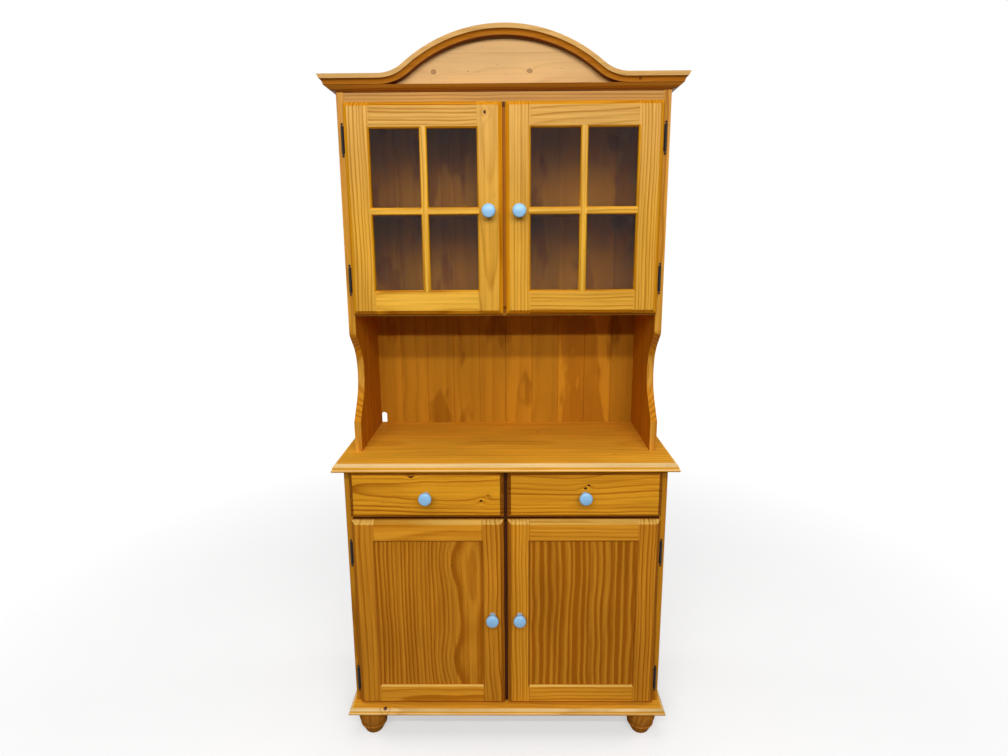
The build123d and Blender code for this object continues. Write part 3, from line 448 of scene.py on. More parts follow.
@dataclass(frozen=True)
class Pine:
    """A lacquered pine board: its tree's heart, its rings, its tone and its knots."""

    name: str
    grain: Grain
    heart: Point
    tone: Tone = HONEY
    ring: float = 0.009
    wander: float = 0.003
    lean: float = 0.0
    sharpness: float = 3.0
    contrast: float = 0.9
    seed: float = 0.0
    knots: tuple[Knot, ...] = ()
    sheen: float = 0.06
    through: int = Y_AXIS
    peak: float = 0.82
    shade_and_joint_bands: tuple[ShadeAndJointBand, ...] = ()
    planks: float = 0.0
    blotch: float = 0.0
    streak: float = 1.0

    def material(self) -> Material:
        """Builds the board's own material and returns it."""
        made = bpy.data.materials.new(self.name)
        g = cleared(made)
        place = g.node("TexCoord").outputs["Object"]
        core, swell = self.knotted(g, place)
        turn = Euler(self.grain.value)
        shift = -(turn.to_matrix() @ Vector(self.heart))
        board = g.node("Mapping", {"Vector": place, "Location": shift, "Rotation": turn}).outputs[0]
        figure = {
            "Vector": board, "Ring": self.ring, "Wander": self.wander, "Lean": self.lean, "Seed": self.seed,
            "Sharpness": self.sharpness, "Contrast": self.contrast, "Peak": self.peak, "Swell": swell,
            "Blotch": self.blotch, "Streak": self.streak, "Early": self.tone.early, "Late": self.tone.late,
        }
        rings = g.node("Group", figure, node_tree=growth_rings()).outputs
        colour = rings["Color"]
        if core is not None:
            colour = g.blend(core, colour, self.tone.knot)
        if self.planks:
            plank = g.math("FLOOR", g.math("DIVIDE", g.axes(place)[X_AXIS], self.planks))
            colour = g.shaded(colour, g.math("MULTIPLY_ADD", g.chance(plank), 0.3, 0.85))
        tinted = {
            "Color": colour, "Vector": place, "Rise": self.tone.rise, "Underside Shade": self.tone.fall,
            "Side Shade": self.tone.side_shade, "Top Sheen": self.tone.top_sheen,
        }
        tints = g.node("Group", tinted, node_tree=painted_facing_light()).outputs
        colour = self.worn_and_highlit(g, place, self.with_shade_and_joint_bands(g, place, tints["Color"]))
        bump = g.node("Bump", {"Strength": 0.35, "Distance": 0.0004, "Height": rings["Height"]})
        sockets = {
            "Base Color": colour,
            "Roughness": g.math("MULTIPLY_ADD", tints["Sides"], SIDE_ROUGHNESS, rings["Roughness"]),
            "Normal": bump.outputs[0],
            "Specular IOR Level": self.sheen,
        }
        g.surface(sockets)
        return made

    def knotted(self, g: Graph, place: Socket) -> tuple[Any, Any]:
        """Adds the knots.

        Args:
            g: the material's graph.
            place: the point on the board.

        Returns:
            The mask of the knots' cores and the swelling about them, or None for both on a clear board.
        """
        core, swell = None, None
        for knot in self.knots:
            closeness = [1 / knot.across] * 3
            closeness[self.along()] = 1 / knot.along
            closeness[self.through] = 1 / KNOT_DEPTH
            figure = {
                "Vector": place, "Place": knot.place, "Closeness": closeness, "Strength": knot.strength,
                "Bulge": knot.swell, "Core": core, "Swell": swell,
            }
            core, swell = g.node("Group", figure, node_tree=knot_figure()).outputs
        return core, swell

    def with_shade_and_joint_bands(self, g: Graph, place: Socket, colour: Any) -> Socket:
        """Returns the colour darkened in its bands of painted shade and its joint lines."""
        for dark_band in self.shade_and_joint_bands:
            away = g.math("ABSOLUTE", g.axes(place)[dark_band.axis])
            above = g.step(away, dark_band.low - BAND_EDGE, dark_band.low + BAND_EDGE)
            below = g.drop(away, dark_band.high - BAND_EDGE, dark_band.high + BAND_EDGE)
            colour = g.blend(g.math("MULTIPLY", above, below), colour, dark_band.tint, "MULTIPLY")
        return colour

    def worn_and_highlit(self, g: Graph, place: Socket, colour: Any) -> Socket:
        """Returns the colour with its arrises made lighter, as rubbed wear and as a painted highlight."""
        edges = g.node("Group", {"Vector": place}, node_tree=worn_and_highlit_edges()).outputs[0]
        lighter = g.blend(1.0, colour, WEAR_AND_HIGHLIGHT_TINT, "MULTIPLY")
        return g.blend(g.math("MULTIPLY", edges, 0.7), colour, lighter)

    def along(self) -> int:
        """Returns the number of the axis that the grain runs along."""
        return list(Grain).index(self.grain)


@dataclass(frozen=True)
class Coat:
    """A finish with little figure: its colour, how it varies, and its gloss."""

    name: str
    colour: Colour
    other: Colour
    scale: float
    rough: tuple[float, float]
    metallic: float = 0.0
    bump: float = 0.1
    coat: float = 0.0

    def material(self) -> Material:
        """Builds the finish's material and returns it."""
        made = bpy.data.materials.new(self.name)
        g = cleared(made)
        place = g.node("TexCoord").outputs["Object"]
        cloud = g.noise(place, 4.0, 0.6, self.scale).outputs[0]
        fine = g.noise(place, scale=self.scale * 14).outputs[0]
        uneven = g.math("MULTIPLY_ADD", fine, 0.2, cloud)
        share = g.step(cloud, 0.35, 0.68)
        bump = g.node("Bump", {"Strength": self.bump, "Distance": 0.0003, "Height": fine})
        sockets = {
            "Base Color": g.blend(share, self.colour, self.other),
            "Metallic": self.metallic,
            "Roughness": g.step(uneven, 0.3, 0.8, *self.rough),
            "Normal": bump.outputs[0],
            "Coat Weight": self.coat,
            "Coat Roughness": 0.12,
        }
        g.surface(sockets)
        return made


@dataclass(frozen=True)
class Pane:
    """Clear window glass, faintly uneven and dusty, with the colour that each face gives shadow rays."""

    name: str = "window_glass"
    clear: Colour = (0.86, 0.83, 0.8)
    shadow: Colour = (0.22, 0.21, 0.21)

    def material(self) -> Material:
        """Builds the glass and returns it."""
        made = bpy.data.materials.new(self.name)
        g = cleared(made)
        place = g.node("TexCoord").outputs["Object"]
        waves = g.noise(place, 1.0, 0.5, 9.0).outputs[0]
        dust = g.noise(place, 5.0, 0.7, 30.0).outputs[0]
        bump = g.node("Bump", {"Strength": 0.05, "Distance": 0.001, "Height": waves})
        sockets = {
            "Base Color": self.clear,
            "Roughness": g.step(dust, 0.4, 0.8, 0.01, 0.06),
            "Transmission Weight": 1.0,
            "IOR": 1.25,
            "Normal": bump.outputs[0],
        }
        shader = g.node("BsdfPrincipled", sockets)
        dimmer = g.node("BsdfTransparent", {"Color": self.shadow})
        shade = g.node("LightPath").outputs["Is Shadow Ray"]
        both = g.node("MixShader", {0: shade, 1: shader.outputs[0], 2: dimmer.outputs[0]})
        g.node("OutputMaterial", {"Surface": both.outputs[0]})
        return made


@dataclass
class Bench:
    """Where copies of the solids are softened, finished and put in their places."""

    bodies: dict[str, str] = field(default_factory=dict)
    coats: dict[str, Material] = field(default_factory=dict)

    def __post_init__(self) -> None:
        """Notes which body each node belongs to."""
        for body, nodes in frame["record"]["behaviour"]["bodies"].items():
            self.bodies.update(dict.fromkeys(nodes, body))

    def solids(self, node: str) -> list[BMesh]:
        """Copies each solid of a node as a merged mesh of whole faces.

        Args:
            node: the name of the node.

        Returns:
            One bmesh for each solid, ordered by X, then Z, then Y.
        """
        whole = bmesh.new()
        whole.from_mesh(frame["nodes"][node].data)
        bmesh.ops.remove_doubles(whole, verts=whole.verts, dist=SAME_PLACE)
        whole.verts.index_update()
        copies = []
        for island in self.islands(whole):
            copy = whole.copy()
            copy.verts.ensure_lookup_table()
            others = [v for v in copy.verts if v.index not in island]
            bmesh.ops.delete(copy, geom=others, context="VERTS")
            bmesh.ops.dissolve_limit(copy, angle_limit=FLAT_TURN, verts=copy.verts, edges=copy.edges)
            centre = sum((v.co for v in copy.verts), Vector()) / len(copy.verts)
            copies.append((*(round(part, 3) for part in centre.xzy), len(copies), copy))
        whole.free()
        return [row[-1] for row in sorted(copies)]

    @staticmethod
    def islands(mesh: BMesh) -> list[set[int]]:
        """Returns the numbers of the vertices in each joined part of a mesh."""
        found: list[set[int]] = []
        seen: set[int] = set()
        for start in mesh.verts:
            if start.index in seen:
                continue
            island, reach = {start.index}, [start]
            while reach:
                for edge in reach.pop().link_edges:
                    for vert in edge.verts:
                        if vert.index not in island:
                            island.add(vert.index)
                            reach.append(vert)
            seen |= island
            found.append(island)
        return found

    def soften(self, solid: BMesh, width: float) -> None:
        """Rounds the sharp outer arrises of a solid.

        Args:
            solid: the mesh to change.
            width: how far the rounding reaches, in metres.
        """
        arrises = [
            e for e in solid.edges
            if e.is_convex and len(e.link_faces) == 2
            and e.calc_face_angle(0) > ARRIS_TURN and e.calc_length() > 4 * width
        ]
        if arrises:
            bmesh.ops.bevel(
                solid, geom=arrises, offset=width, offset_type="OFFSET", segments=2,
                profile=0.5, affect="EDGES", clamp_overlap=True, material=-1,
            )

    def set_down(self, solid: BMesh, name: str, node: str, finish: Material) -> None:
        """Makes a piece of a solid and lets it stand for its node.

        Args:
            solid: the finished mesh, which is freed.
            name: the piece's name.
            node: the node that it stands for and whose body it rides on.
            finish: its material.
        """
        bmesh.ops.dissolve_degenerate(solid, dist=SLIVER, edges=solid.edges)
        mesh = bpy.data.meshes.new(name)
        solid.to_mesh(mesh)
        solid.free()
        mesh.shade_smooth()
        mesh.set_sharp_from_angle(angle=CREASE_TURN)
        mesh.materials.append(finish)
        piece = bpy.data.objects.new(name, mesh)
        bpy.context.scene.collection.objects.link(piece)
        weighted = piece.modifiers.new("flat_faces", "WEIGHTED_NORMAL")
        weighted.keep_sharp = True
        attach(piece, self.bodies[node])
        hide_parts(node)

    def part(self, solid: BMesh, at: float, keep: int) -> BMesh:
        """Returns a closed copy of the part of a solid on one side of an upright plane across X.

        Args:
            solid: the solid, which is left whole.
            at: where the plane stands, in metres.
            keep: 1 for the part beyond the plane, -1 for the part before it.

        Returns:
            The part.
        """
        piece = solid.copy()
        everything = [*piece.verts, *piece.edges, *piece.faces]
        bmesh.ops.bisect_plane(
            piece, geom=everything, plane_co=(at, 0, 0), plane_no=(-keep, 0, 0), clear_outer=True
        )
        bmesh.ops.holes_fill(piece, edges=[e for e in piece.edges if e.is_boundary], sides=0)
        return piece

    def dress(self, node: str, finish: Material) -> None:
        """Gives a node its finish in every material slot."""
        for slot in frame["nodes"][node].material_slots:
            slot.material = finish

    def fit(self, owner: str, **fittings: str) -> None:
        """Gives nodes whose names start alike the shared finishes that are named."""
        for fitting, coat in fittings.items():
            self.dress(f"{owner}_{fitting}", self.coats[coat])

    def boards(self, node: str, names: Iterable[str], finishes: Iterable[Pine], width: float) -> None:
        """Sets down each solid of a node as a softened board.

        Args:
            node: the node.
            names: a name for each board.
            finishes: the pine of each board.
            width: how far its arrises are rounded, in metres.
        """
        for solid, name, pine in zip(self.solids(node), names, finishes, strict=True):
            self.soften(solid, width)
            self.set_down(solid, name, node, pine.material())
            log.info("%s is set down as %s", node, name)


@dataclass
class Crown:
    """The arched cornice, the board behind it and the rail under it."""

    soft: float = 0.0008

    def dress(self, bench: Bench) -> None:
        """Finishes the crown.

        Args:
            bench: where the boards are made.
        """
        knots = (
            Knot((0.0635, PEDIMENT_FACE, 1.782), 0.0052, 0.0062, 0.95, 0.25),
            Knot((-0.169, PEDIMENT_FACE, 1.781), 0.0054, 0.0064, 0.95, 0.25),
            Knot((-0.0854, PEDIMENT_FACE, 1.7816), 0.0014, 0.0018, 0.9, 0.1),
            Knot((-0.0142, PEDIMENT_FACE, 1.7954), 0.001, 0.0018, 0.7, 0.1),
        )
        # The pediment's pale tone is a painted sheen; its thin darker line is the joint between its boards.
        pediment = Pine(
            "pine_pediment", Grain.ACROSS, (0.0, 0.03, 1.735), PALE_SHEEN, ring=0.0155, wander=0.005, lean=0.03,
            sharpness=6.0, contrast=0.3, seed=3, knots=knots, sheen=0.15,
            shade_and_joint_bands=(ShadeAndJointBand(Z_AXIS, 1.822, 1.823, (0.8, 0.7, 0.6)),), streak=0.5,
        )
        # In the arch and the returns, the band behind the fascia, the cove and soffit, is darker and deeper
        # than the fascia's painted sheen.
        tint = (0.58, 0.335, 0.058)
        arch = Pine(
            "pine_arch", Grain.ACROSS, (0.0, 0.1, 1.5), BRIM_SHEEN, ring=0.017, lean=0.02, sharpness=4.0,
            contrast=0.5, seed=11, knots=(Knot((0.3267, -0.11, 1.7572), 0.003, 0.004),),
            shade_and_joint_bands=(ShadeAndJointBand(Y_AXIS, 0.0, 0.1163, tint),),
        )
        # The bed moulding under the cornice takes a darker tone as painted shade.
        bed = Pine(
            "pine_bed_moulding", Grain.ACROSS, (0.0, -0.02, 1.68), COVE_SHADE, ring=0.01, lean=0.01, sharpness=4.0,
            seed=5,
        )
        returns = Pine(
            "pine_returns", Grain.DEEP, (0.4, 0.0, 1.66), BRIM_SHEEN, ring=0.011, lean=0.01, sharpness=4.0, seed=6,
            shade_and_joint_bands=(ShadeAndJointBand(X_AXIS, 0.0, 0.4403, tint),),
        )
        # On the frieze, the band seen behind the door tops and the strip under the crown's foot are painted
        # shade.
        rail = Pine(
            "pine_frieze", Grain.ACROSS, (0.0, -0.06, 1.83), RUSSET, ring=0.008, wander=0.002, lean=0.02,
            contrast=1.0, seed=8,
            shade_and_joint_bands=(
                ShadeAndJointBand(Z_AXIS, 0.0, 1.7125, (0.25, 0.18, 0.14)),
                ShadeAndJointBand(Z_AXIS, 1.7352, 1.8, (0.22, 0.12, 0.07)),
            ),
        )
        bench.boards("pediment_panel", ["pediment_board"], [pediment], self.soft)
        bench.boards("hutch_top_rail", ["frieze_rail"], [rail], self.soft)
        bench.dress("cornice_arch_moulding", arch.material())
        bench.dress("cornice_bed_moulding", bed.material())
        bench.dress("cornice_returns", returns.material())


@dataclass
class Door:
    """A framed door, with its stiles from west to east and its rails from low to high."""

    side: str
    stiles: tuple[Pine, Pine]
    rails: tuple[Pine, Pine]
    soft: ClassVar[float] = 0.0003

    def join(self, bench: Bench, door: str) -> None:
        """Finishes the door's frame and fittings.

        Args:
            bench: where the boards are made.
            door: the start of the names of the door's nodes.
        """
        stiles = [f"{door}_stile_{end}" for end in ("west", "east")]
        rails = [f"{door}_rail_{end}" for end in ("low", "high")]
        bench.boards(f"{door}_stiles", stiles, self.stiles, self.soft)
        bench.boards(f"{door}_rails", rails, self.rails, self.soft)
        bench.fit(door, knob="glaze", ironwork="iron")


@dataclass
class GlazedDoor(Door):
    """A glazed door of the hutch, whose bars are an upright and two level arms."""

    bar: Pine
    bar_width: ClassVar[float] = 0.0185
    level_heart: ClassVar[Point] = (0.0, -0.08, 1.44)

    def dress(self, bench: Bench) -> None:
        """Finishes the door's frame, bars, pane and fittings.

        Args:
            bench: where the boards are made.
        """
        door = f"hutch_door_{self.side}"
        self.join(bench, door)
        bars = f"{door}_glazing_bars"
        cross, ring = sorted(bench.solids(bars), key=lambda s: min(v.co.y for v in s.verts))
        joints = [f for f in ring.faces if all(len(e.link_faces) > 2 for e in f.edges)]
        bmesh.ops.delete(ring, geom=joints, context="FACES_ONLY")
        low, high = (Vector(corner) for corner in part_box(f"{door}_glazing_bars"))
        middle, half = (low.x + high.x) / 2, self.bar_width / 2
        upright = bench.part(bench.part(cross, middle - half, 1), middle + half, -1)
        plumb = self.bar.material()
        bench.set_down(upright, f"{door}_bar_upright", bars, plumb)
        bench.set_down(ring, f"{door}_beads", bars, plumb)
        name = f"{self.bar.name}_level"
        across = replace(self.bar, name=name, grain=Grain.ACROSS, heart=self.level_heart).material()
        for end, at, keep in ("west", middle - half, -1), ("east", middle + half, 1):
            bench.set_down(bench.part(cross, at, keep), f"{door}_bar_{end}", bars, across)
        bench.fit(door, glass="glass")


@dataclass
class PanelDoor(Door):
    """A panelled door of the base."""

    panel: Pine

    def dress(self, bench: Bench) -> None:
        """Finishes the door's frame, panel and fittings."""
        door = f"base_door_{self.side}"
        self.join(bench, door)
        bench.dress(f"{door}_panel", self.panel.material())


@dataclass
class Drawer:
    """A drawer: its moulded front, and the plain box behind it."""

    side: str
    front: Pine
    soft: float = 0.0008

    def dress(self, bench: Bench) -> None:
        """Finishes the drawer.

        Args:
            bench: where the boards are made.
        """
        drawer = f"drawer_{self.side}"
        bench.boards(f"{drawer}_front", [f"{drawer}_face"], [self.front], self.soft)
        bench.fit(drawer, box="drawer_wood", bottom="ply", knob="glaze", knob_screw="steel")


@dataclass
class Carcass:
    """The fixed boards of the base and the hutch."""

    soft: float = 0.0014

    def dress(self, bench: Bench) -> None:
        """Finishes every fixed board.

        Args:
            bench: where the boards are made.
        """
        up, flat, deep = Grain.UPRIGHT, Grain.ACROSS, Grain.DEEP
        sides = {
            node: Pine(f"pine_{node}", up, heart, tone, ring=ring, wander=0.004, lean=lean, seed=seed)
            for node, heart, tone, ring, lean, seed in (
                ("hutch_side_left", (-0.355, 0.05, 1.4), FLANK, 0.012, 0.01, 21),
                ("hutch_side_right", (0.35, 0.02, 1.4), FLANK, 0.011, 0.01, 22),
                ("base_side_left", (-0.36, 0.1, 0.4), BACKING, 0.013, 0.015, 23),
                ("base_side_right", (0.36, 0.0, 0.4), BACKING, 0.012, -0.01, 24),
            )
        }
        single = sides | {
            "worktop": Pine(
                "pine_worktop", flat, (0.0, -0.02, 0.7), GOLD, ring=0.013, wander=0.004, lean=0.01,
                sharpness=2.5, contrast=0.35, seed=25,
                knots=(
                    Knot((-0.144, -0.109, WORKTOP_TOP), 0.0016, 0.0022),
                    Knot((0.294, -0.112, WORKTOP_TOP), 0.0016, 0.0022),
                    Knot((0.096, 0.092, WORKTOP_TOP), 0.002, 0.005),
                ),
                through=Z_AXIS,
            ),
            "plinth_board": Pine(
                "pine_plinth", flat, (0.0, -0.05, -0.02), GOLD, ring=0.012, wander=0.004, lean=0.02,
                contrast=0.7, seed=26, through=Z_AXIS,
                knots=(Knot((-0.341, -0.185, 0.094), 0.0045, 0.0045, 1.6),),
            ),
            # The drawer rail, the posts and the partition, seen in the gaps between doors and drawers, take
            # darker tones as painted shade.
            "drawer_rail": Pine("pine_drawer_rail", flat, (0.0, -0.1, 0.5), GAP_SHADE, ring=0.01, seed=27),
            "base_centre_post": Pine("pine_base_post", up, (0.09, -0.1, 0.4), GAP_SHADE, ring=0.01, seed=28),
            "hutch_centre_post": Pine("pine_hutch_post", up, (0.09, -0.02, 1.4), COVE_SHADE, ring=0.01, seed=29),
            "hutch_bottom_board": Pine(
                "pine_hutch_floor", flat, (0.0, 0.05, 1.12), TOFFEE, ring=0.012, seed=30,
            ),
            "hutch_shelf": Pine("pine_hutch_shelf", flat, (0.0, 0.02, 1.38), TOFFEE, ring=0.012, seed=31),
            "base_shelf": Pine("pine_base_shelf", flat, (0.0, 0.05, 0.3), TOFFEE, ring=0.013, seed=32),
            "hutch_top_board": Pine("pine_hutch_top", flat, (0.0, 0.05, 1.66), ring=0.013, seed=33),
            "drawer_partition": Pine("pine_partition", deep, (0.04, 0.0, 0.66), GAP_SHADE, ring=0.01, seed=34),
        }
        for node, pine in single.items():
            bench.boards(node, [f"{node}_board"], [pine], self.soft)
        runners = Pine("pine_runners", deep, (0.0, 0.0, 0.6), TOFFEE, seed=35)
        bench.dress("drawer_runners", runners.material())
        back = Pine(
            "pine_back", up, (0.3, 0.45, 1.3), BACKING, ring=0.03, wander=0.008, lean=0.02, sharpness=2.0,
            contrast=0.35, seed=36, planks=0.0806, blotch=0.75, streak=0.35,
        )
        bench.dress("hutch_back_panel", back.material())
        for node, seed in (("bun_feet_front", 37), ("bun_feet_rear", 38)):
            foot = Pine(
                f"pine_{node}", up, (0.41, -0.19, 0.0), BUN, ring=0.013, lean=0.4, sharpness=2.5,
                contrast=0.6, seed=seed,
            )
            bench.dress(node, foot.material())
        bench.fit("base", back_panel="ply")
        bench.fit("hinge", pins="iron", cabinet_leaves="iron")
        bench.fit("shelf", pins="steel")
        bench.fit("door", catches="catch")


@dataclass
class Studio:
    """The camera at the photograph's viewpoint, the lamps, the pale floor and the white surround.

    The lens and sensor are in millimetres, the three turns in degrees and the rest in metres. The ambient
    is the surround's strength where it only gives light.
    """

    eye: Point = (0.015462, -1.806934, 1.396252)
    focal_length: float = 23.663
    yaw: float = -0.61
    pitch: float = 12.24
    roll: float = 0.349
    ambient: float = 0.13
    floor_radius: float = 30.0
    sensor_width: float = 36.0

    def camera(self) -> None:
        """Places the camera."""
        turn, dip, lean = radians(self.yaw), radians(self.pitch), radians(self.roll)
        ahead = Vector((sin(turn) * cos(dip), cos(turn) * cos(dip), -sin(dip)))
        right = Vector((cos(turn), -sin(turn), 0.0))
        down = ahead.cross(right)
        aside = cos(lean) * right + sin(lean) * down
        under = cos(lean) * down - sin(lean) * right
        lens = bpy.data.cameras.new("camera")
        lens.sensor_width = self.sensor_width
        lens.lens = self.focal_length
        lens.clip_start = 0.05
        seat = bpy.data.objects.new("camera", lens)
        facing = Matrix((aside, -under, -ahead)).transposed().to_4x4()
        seat.matrix_world = Matrix.Translation(self.eye) @ facing
        bpy.context.scene.collection.objects.link(seat)
        bpy.context.scene.camera = seat

    def lamp(
        self, name: str, place: Point, size: tuple[float, float], power: float, towards: Point = (0, 0, 1)
    ) -> None:
        """Hangs one soft lamp.

        Args:
            name: the lamp's name.
            place: where it hangs.
            size: its width and height, in metres.
            power: its power in watts.
            towards: the point that it faces.
        """
        light = bpy.data.lights.new(name, "AREA")
        light.shape = "RECTANGLE"
        light.size, light.size_y = size
        light.energy = power
        hung = bpy.data.objects.new(name, light)
        hung.location = place
        hung.rotation_euler = (Vector(towards) - Vector(place)).to_track_quat("-Z", "Y").to_euler()
        bpy.context.scene.collection.objects.link(hung)

    def surround(self) -> None:
        """Makes the world: white where it is seen, reflected or seen through, and softer as light."""
        world = bpy.data.worlds.new("surround")
        g = cleared(world)
        seen = self.seen(g)
        strength = g.math("MULTIPLY_ADD", seen, 1.0 - self.ambient, self.ambient)
        sky = g.node("Background", {"Color": WHITE, "Strength": strength})
        g.node("OutputWorld", {"Surface": sky.outputs[0]})
        bpy.context.scene.world = world

    @staticmethod
    def seen(g: Graph) -> Socket:
        """Returns 1 for rays that show a thing to the eye, straight, mirrored or through glass, else 0."""
        rays = g.node("LightPath").outputs
        seen = g.math("MAXIMUM", rays["Is Camera Ray"], rays["Is Glossy Ray"])
        seen = g.math("MAXIMUM", seen, rays["Is Transmission Ray"])
        return g.math("MULTIPLY", seen, g.math("LESS_THAN", rays["Diffuse Depth"], 0.5))

    def floor(self) -> None:
        """Lays the pale floor."""
        solid = bmesh.new()
        bmesh.ops.create_circle(solid, cap_ends=True, segments=64, radius=self.floor_radius)
        mesh = bpy.data.meshes.new("floor")
        solid.to_mesh(mesh)
        solid.free()
        made = bpy.data.materials.new("pale_floor")
        g = cleared(made)
        place = g.node("TexCoord").outputs["Object"]
        seen = self.seen(g)
        far = g.step(g.length(place), 1.1, 3.2)
        cloud = g.noise(place, 3.0, 0.6, 6.0).outputs[0]
        pale = g.blend(cloud, (0.66, 0.66, 0.66), (0.69, 0.69, 0.69))
        near = g.math("MULTIPLY", seen, g.math("SUBTRACT", 1.0, far))
        colour = g.blend(near, (0.16, 0.16, 0.16), pale)
        glow = g.math("MULTIPLY", seen, g.math("MULTIPLY_ADD", far, 0.55, 0.45))
        sockets = {
            "Base Color": colour,
            "Roughness": 0.9,
            "Specular IOR Level": 0.1,
            "Emission Color": WHITE,
            "Emission Strength": glow,
        }
        g.surface(sockets)
        mesh.materials.append(made)
        laid = bpy.data.objects.new("floor", mesh)
        bpy.context.scene.collection.objects.link(laid)

    def build(self) -> None:
        """Builds the whole studio."""
        self.camera()
        self.surround()
        self.floor()
        self.lamp("near_strip", (0.0, -2.54, 2.6), (3.2, 0.12), 35.0, (0.0, -0.1, 1.1))
        self.lamp("far_strip", (0.0, -4.33, 2.6), (3.6, 0.12), 78.0, (0.0, -0.1, 1.0))
        self.lamp("overhead", (0.0, -0.6, 4.2), (2.4, 2.4), 34.0)
        self.lamp("left_fill", (-3.8, 0.6, 2.2), (1.6, 2.0), 24.0)
        self.lamp("right_fill", (3.8, 0.6, 2.2), (1.6, 2.0), 24.0)
        self.lamp("back_fill", (0.0, 4.2, 2.4), (2.4, 2.0), 34.0)
        bpy.context.scene.view_settings.view_transform = "Standard"


def coats() -> dict[str, Material]:
    """Builds the finishes that several pieces share.

    Returns:
        Each finish's material under its plain name.
    """
    ply = Pine(
        "ply_board", Grain.ACROSS, (0.0, 0.5, 0.1), TOFFEE, ring=0.03, wander=0.01, lean=0.02, sharpness=2.0,
        contrast=0.4, seed=41,
    )
    bare = Tone((0.74, 0.5, 0.25), (0.58, 0.34, 0.13))
    box = Pine("drawer_wood", Grain.DEEP, (0.0, 0.0, 0.6), bare, lean=0.01, contrast=0.7, seed=42, sheen=0.2)
    glaze = Coat(
        "sky_glaze", (0.33, 0.63, 0.93), (0.29, 0.57, 0.89), 45.0, (0.3, 0.42), bump=0.08, coat=0.15,
    )
    iron = Coat("black_iron", (0.007, 0.005, 0.004), (0.014, 0.009, 0.007), 160.0, (0.72, 0.88), bump=0.25)
    steel = Coat("bright_steel", (0.55, 0.55, 0.54), (0.42, 0.42, 0.41), 120.0, (0.25, 0.4), metallic=1.0)
    catch = Coat("brown_catch", (0.1, 0.045, 0.02), (0.08, 0.035, 0.016), 90.0, (0.35, 0.5))
    finishes = {"ply": ply, "drawer_wood": box, "glaze": glaze, "iron": iron, "steel": steel, "catch": catch}
    made = {name: finish.material() for name, finish in finishes.items()}
    made["glass"] = Pane().material()
    return made


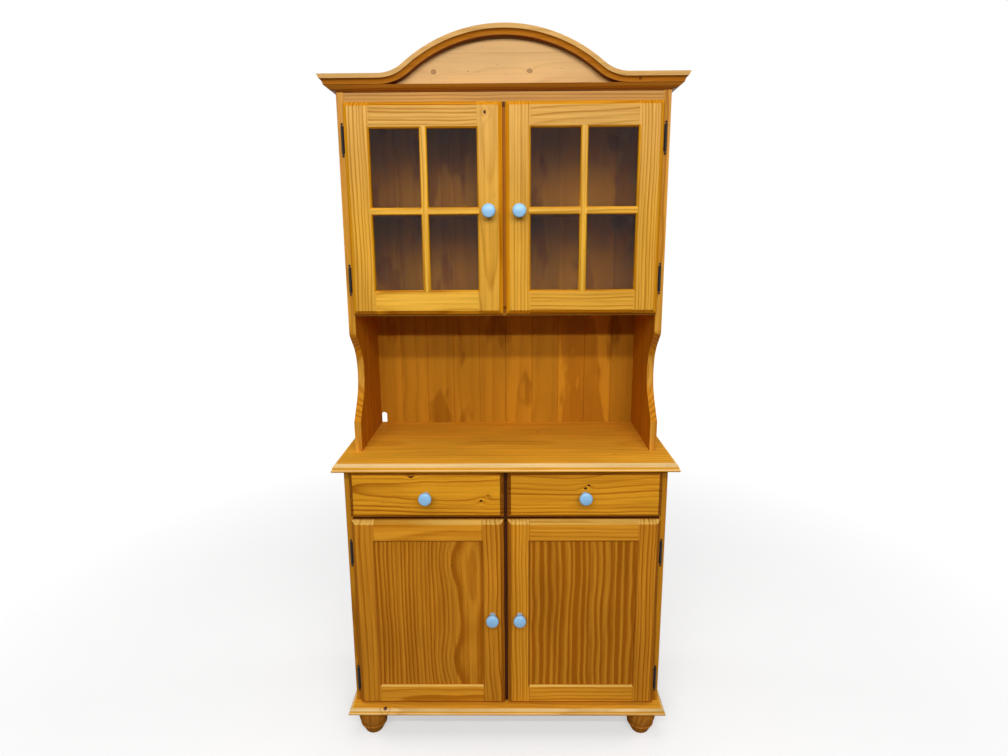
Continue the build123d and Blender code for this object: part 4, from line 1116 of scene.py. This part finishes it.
def doors() -> list[GlazedDoor | PanelDoor]:
    """Chooses the boards of the four doors.

    Returns:
        The doors, ready to be dressed.
    """
    up, flat = Grain.UPRIGHT, Grain.ACROSS
    small = Knot((-0.0456, GLAZED_FACE, 1.6853), 0.0032, 0.0042, 1.4)
    stiles = (
        Pine("pine_hl_west", up, (-0.475, -0.085, 1.4), ring=0.0085, lean=0.01, contrast=0.65, seed=1),
        Pine(
            "pine_hl_east", up, (-0.036, -0.07, 1.4), ring=0.013, lean=0.06, sharpness=4.0, contrast=0.45,
            seed=2, knots=(small,),
        ),
    )
    rails = (
        Pine(
            "pine_hl_low", flat, (0.0, -0.078, 1.232), LATH, ring=0.02, wander=0.004, lean=0.03,
            sharpness=4.0, contrast=0.6, seed=3,
        ),
        Pine("pine_hl_high", flat, (0.0, -0.075, 1.8), wander=0.004, lean=0.02, contrast=0.75, seed=4),
    )
    bars = Pine(
        "pine_hl_bars", up, (-0.14, -0.08, 1.4), LATH, ring=0.008, wander=0.002, lean=0.01, contrast=0.4,
        seed=5,
    )
    glazed_left = GlazedDoor("left", stiles, rails, bars)
    stiles = (
        Pine(
            "pine_hr_west", up, (0.135, -0.085, 1.4), ring=0.0085, wander=0.002, lean=0.01, contrast=0.45,
            seed=6,
        ),
        Pine("pine_hr_east", up, (0.5, -0.085, 1.4), ring=0.008, lean=0.02, seed=7),
    )
    rails = (
        Pine("pine_hr_low", flat, (0.0, -0.08, 1.13), ring=0.01, lean=0.01, contrast=0.7, seed=8),
        Pine(
            "pine_hr_high", flat, (0.0, -0.065, 1.64), ring=0.013, wander=0.004, lean=0.08, sharpness=4.0,
            contrast=0.6, seed=9,
        ),
    )
    bars = replace(bars, name="pine_hr_bars", heart=(0.26, -0.08, 1.4), seed=10)
    glazed_right = GlazedDoor("right", stiles, rails, bars)
    stiles = (
        Pine(
            "pine_bl_west", up, (-0.5, -0.16, 0.4), AMBER, ring=0.014, wander=0.004, lean=0.01, contrast=0.5,
            seed=11,
        ),
        Pine("pine_bl_east", up, (0.03, -0.15, 0.4), AMBER, ring=0.011, wander=0.005, lean=0.05, seed=12),
    )
    rails = (
        Pine(
            "pine_bl_low", flat, (0.0, -0.14, 0.11), MAPLE, ring=0.016, wander=0.004, lean=0.02,
            contrast=0.7, seed=13,
        ),
        Pine(
            "pine_bl_high", flat, (0.0, -0.13, 0.6), MAPLE, ring=0.02, wander=0.004, lean=0.03, contrast=0.6,
            seed=14,
        ),
    )
    board = Pine(
        "pine_bl_panel", up, (-0.09, -0.12, 0.4), AMBER, ring=0.0115, sharpness=1.4, contrast=0.85, seed=15,
        knots=(
            Knot((-0.146, PANEL_FACE, 0.521), 0.0018, 0.0022, 1.0, 0.0),
            Knot((-0.157, PANEL_FACE, 0.53), 0.026, 0.042, 0.0, -0.75),
            Knot((-0.158, PANEL_FACE, 0.228), 0.026, 0.042, 0.0, -0.75),
        ),
        peak=0.72,
    )
    panel_left = PanelDoor("left", stiles, rails, board)
    stiles = (
        Pine("pine_br_west", up, (0.16, -0.16, 0.4), MAPLE, ring=0.0095, lean=0.01, seed=16),
        Pine("pine_br_east", up, (0.52, -0.16, 0.4), AMBER, ring=0.01, lean=0.01, seed=17),
    )
    rails = (
        Pine("pine_br_low", flat, (0.0, -0.16, 0.03), MAPLE, ring=0.012, lean=0.01, contrast=0.8, seed=18),
        Pine("pine_br_high", flat, (0.0, -0.16, 0.74), MAPLE, ring=0.013, lean=0.01, contrast=0.8, seed=19),
    )
    board = Pine(
        "pine_br_panel", up, (0.62, -0.1, 0.4), AMBER, ring=0.019, wander=0.006, lean=0.02, sharpness=1.2,
        contrast=1.25, seed=20, peak=0.55,
    )
    panel_right = PanelDoor("right", stiles, rails, board)
    return [glazed_left, glazed_right, panel_left, panel_right]


def drawers() -> list[Drawer]:
    """Chooses the fronts of the two drawers.

    Returns:
        The drawers, ready to be dressed.
    """
    left = Pine(
        "pine_drawer_left", Grain.ACROSS, (0.0, -0.135, 0.745), FRONT, ring=0.0105, wander=0.005, lean=0.02,
        contrast=0.8, seed=51,
        knots=(
            Knot((-0.2464, DRAWER_FACE, 0.7781), 0.0028, 0.0055, 1.2, 0.5),
            Knot((-0.0644, DRAWER_FACE, 0.7109), 0.0028, 0.0036, 1.5, 0.4),
            Knot((-0.0458, DRAWER_FACE, 0.7249), 0.002, 0.0028, 1.3, 0.3),
        ),
    )
    dark = replace(FRONT, early=(0.86, 0.37, 0.019))
    right = Pine(
        "pine_drawer_right", Grain.ACROSS, (0.0, -0.14, 0.8), dark, ring=0.013, wander=0.005, lean=-0.03,
        contrast=0.65, seed=52,
        knots=(
            Knot((0.21, DRAWER_FACE, 0.7455), 0.0028, 0.0042, 1.4, 0.3),
            Knot((0.218, DRAWER_FACE, 0.754), 0.0024, 0.0038, 1.4, 0.3),
        ),
    )
    return [Drawer("left", left), Drawer("right", right)]


def main() -> None:
    """Builds the studio and dresses every piece of the dresser."""
    logging.basicConfig(level=logging.INFO, format="%(message)s")
    Studio().build()
    bench = Bench(coats=coats())
    Crown().dress(bench)
    Carcass().dress(bench)
    for sub_assembly in [*doors(), *drawers()]:
        sub_assembly.dress(bench)
        log.info("%s %s is dressed", type(sub_assembly).__name__, sub_assembly.side)


if __name__ == "__main__":
    main()
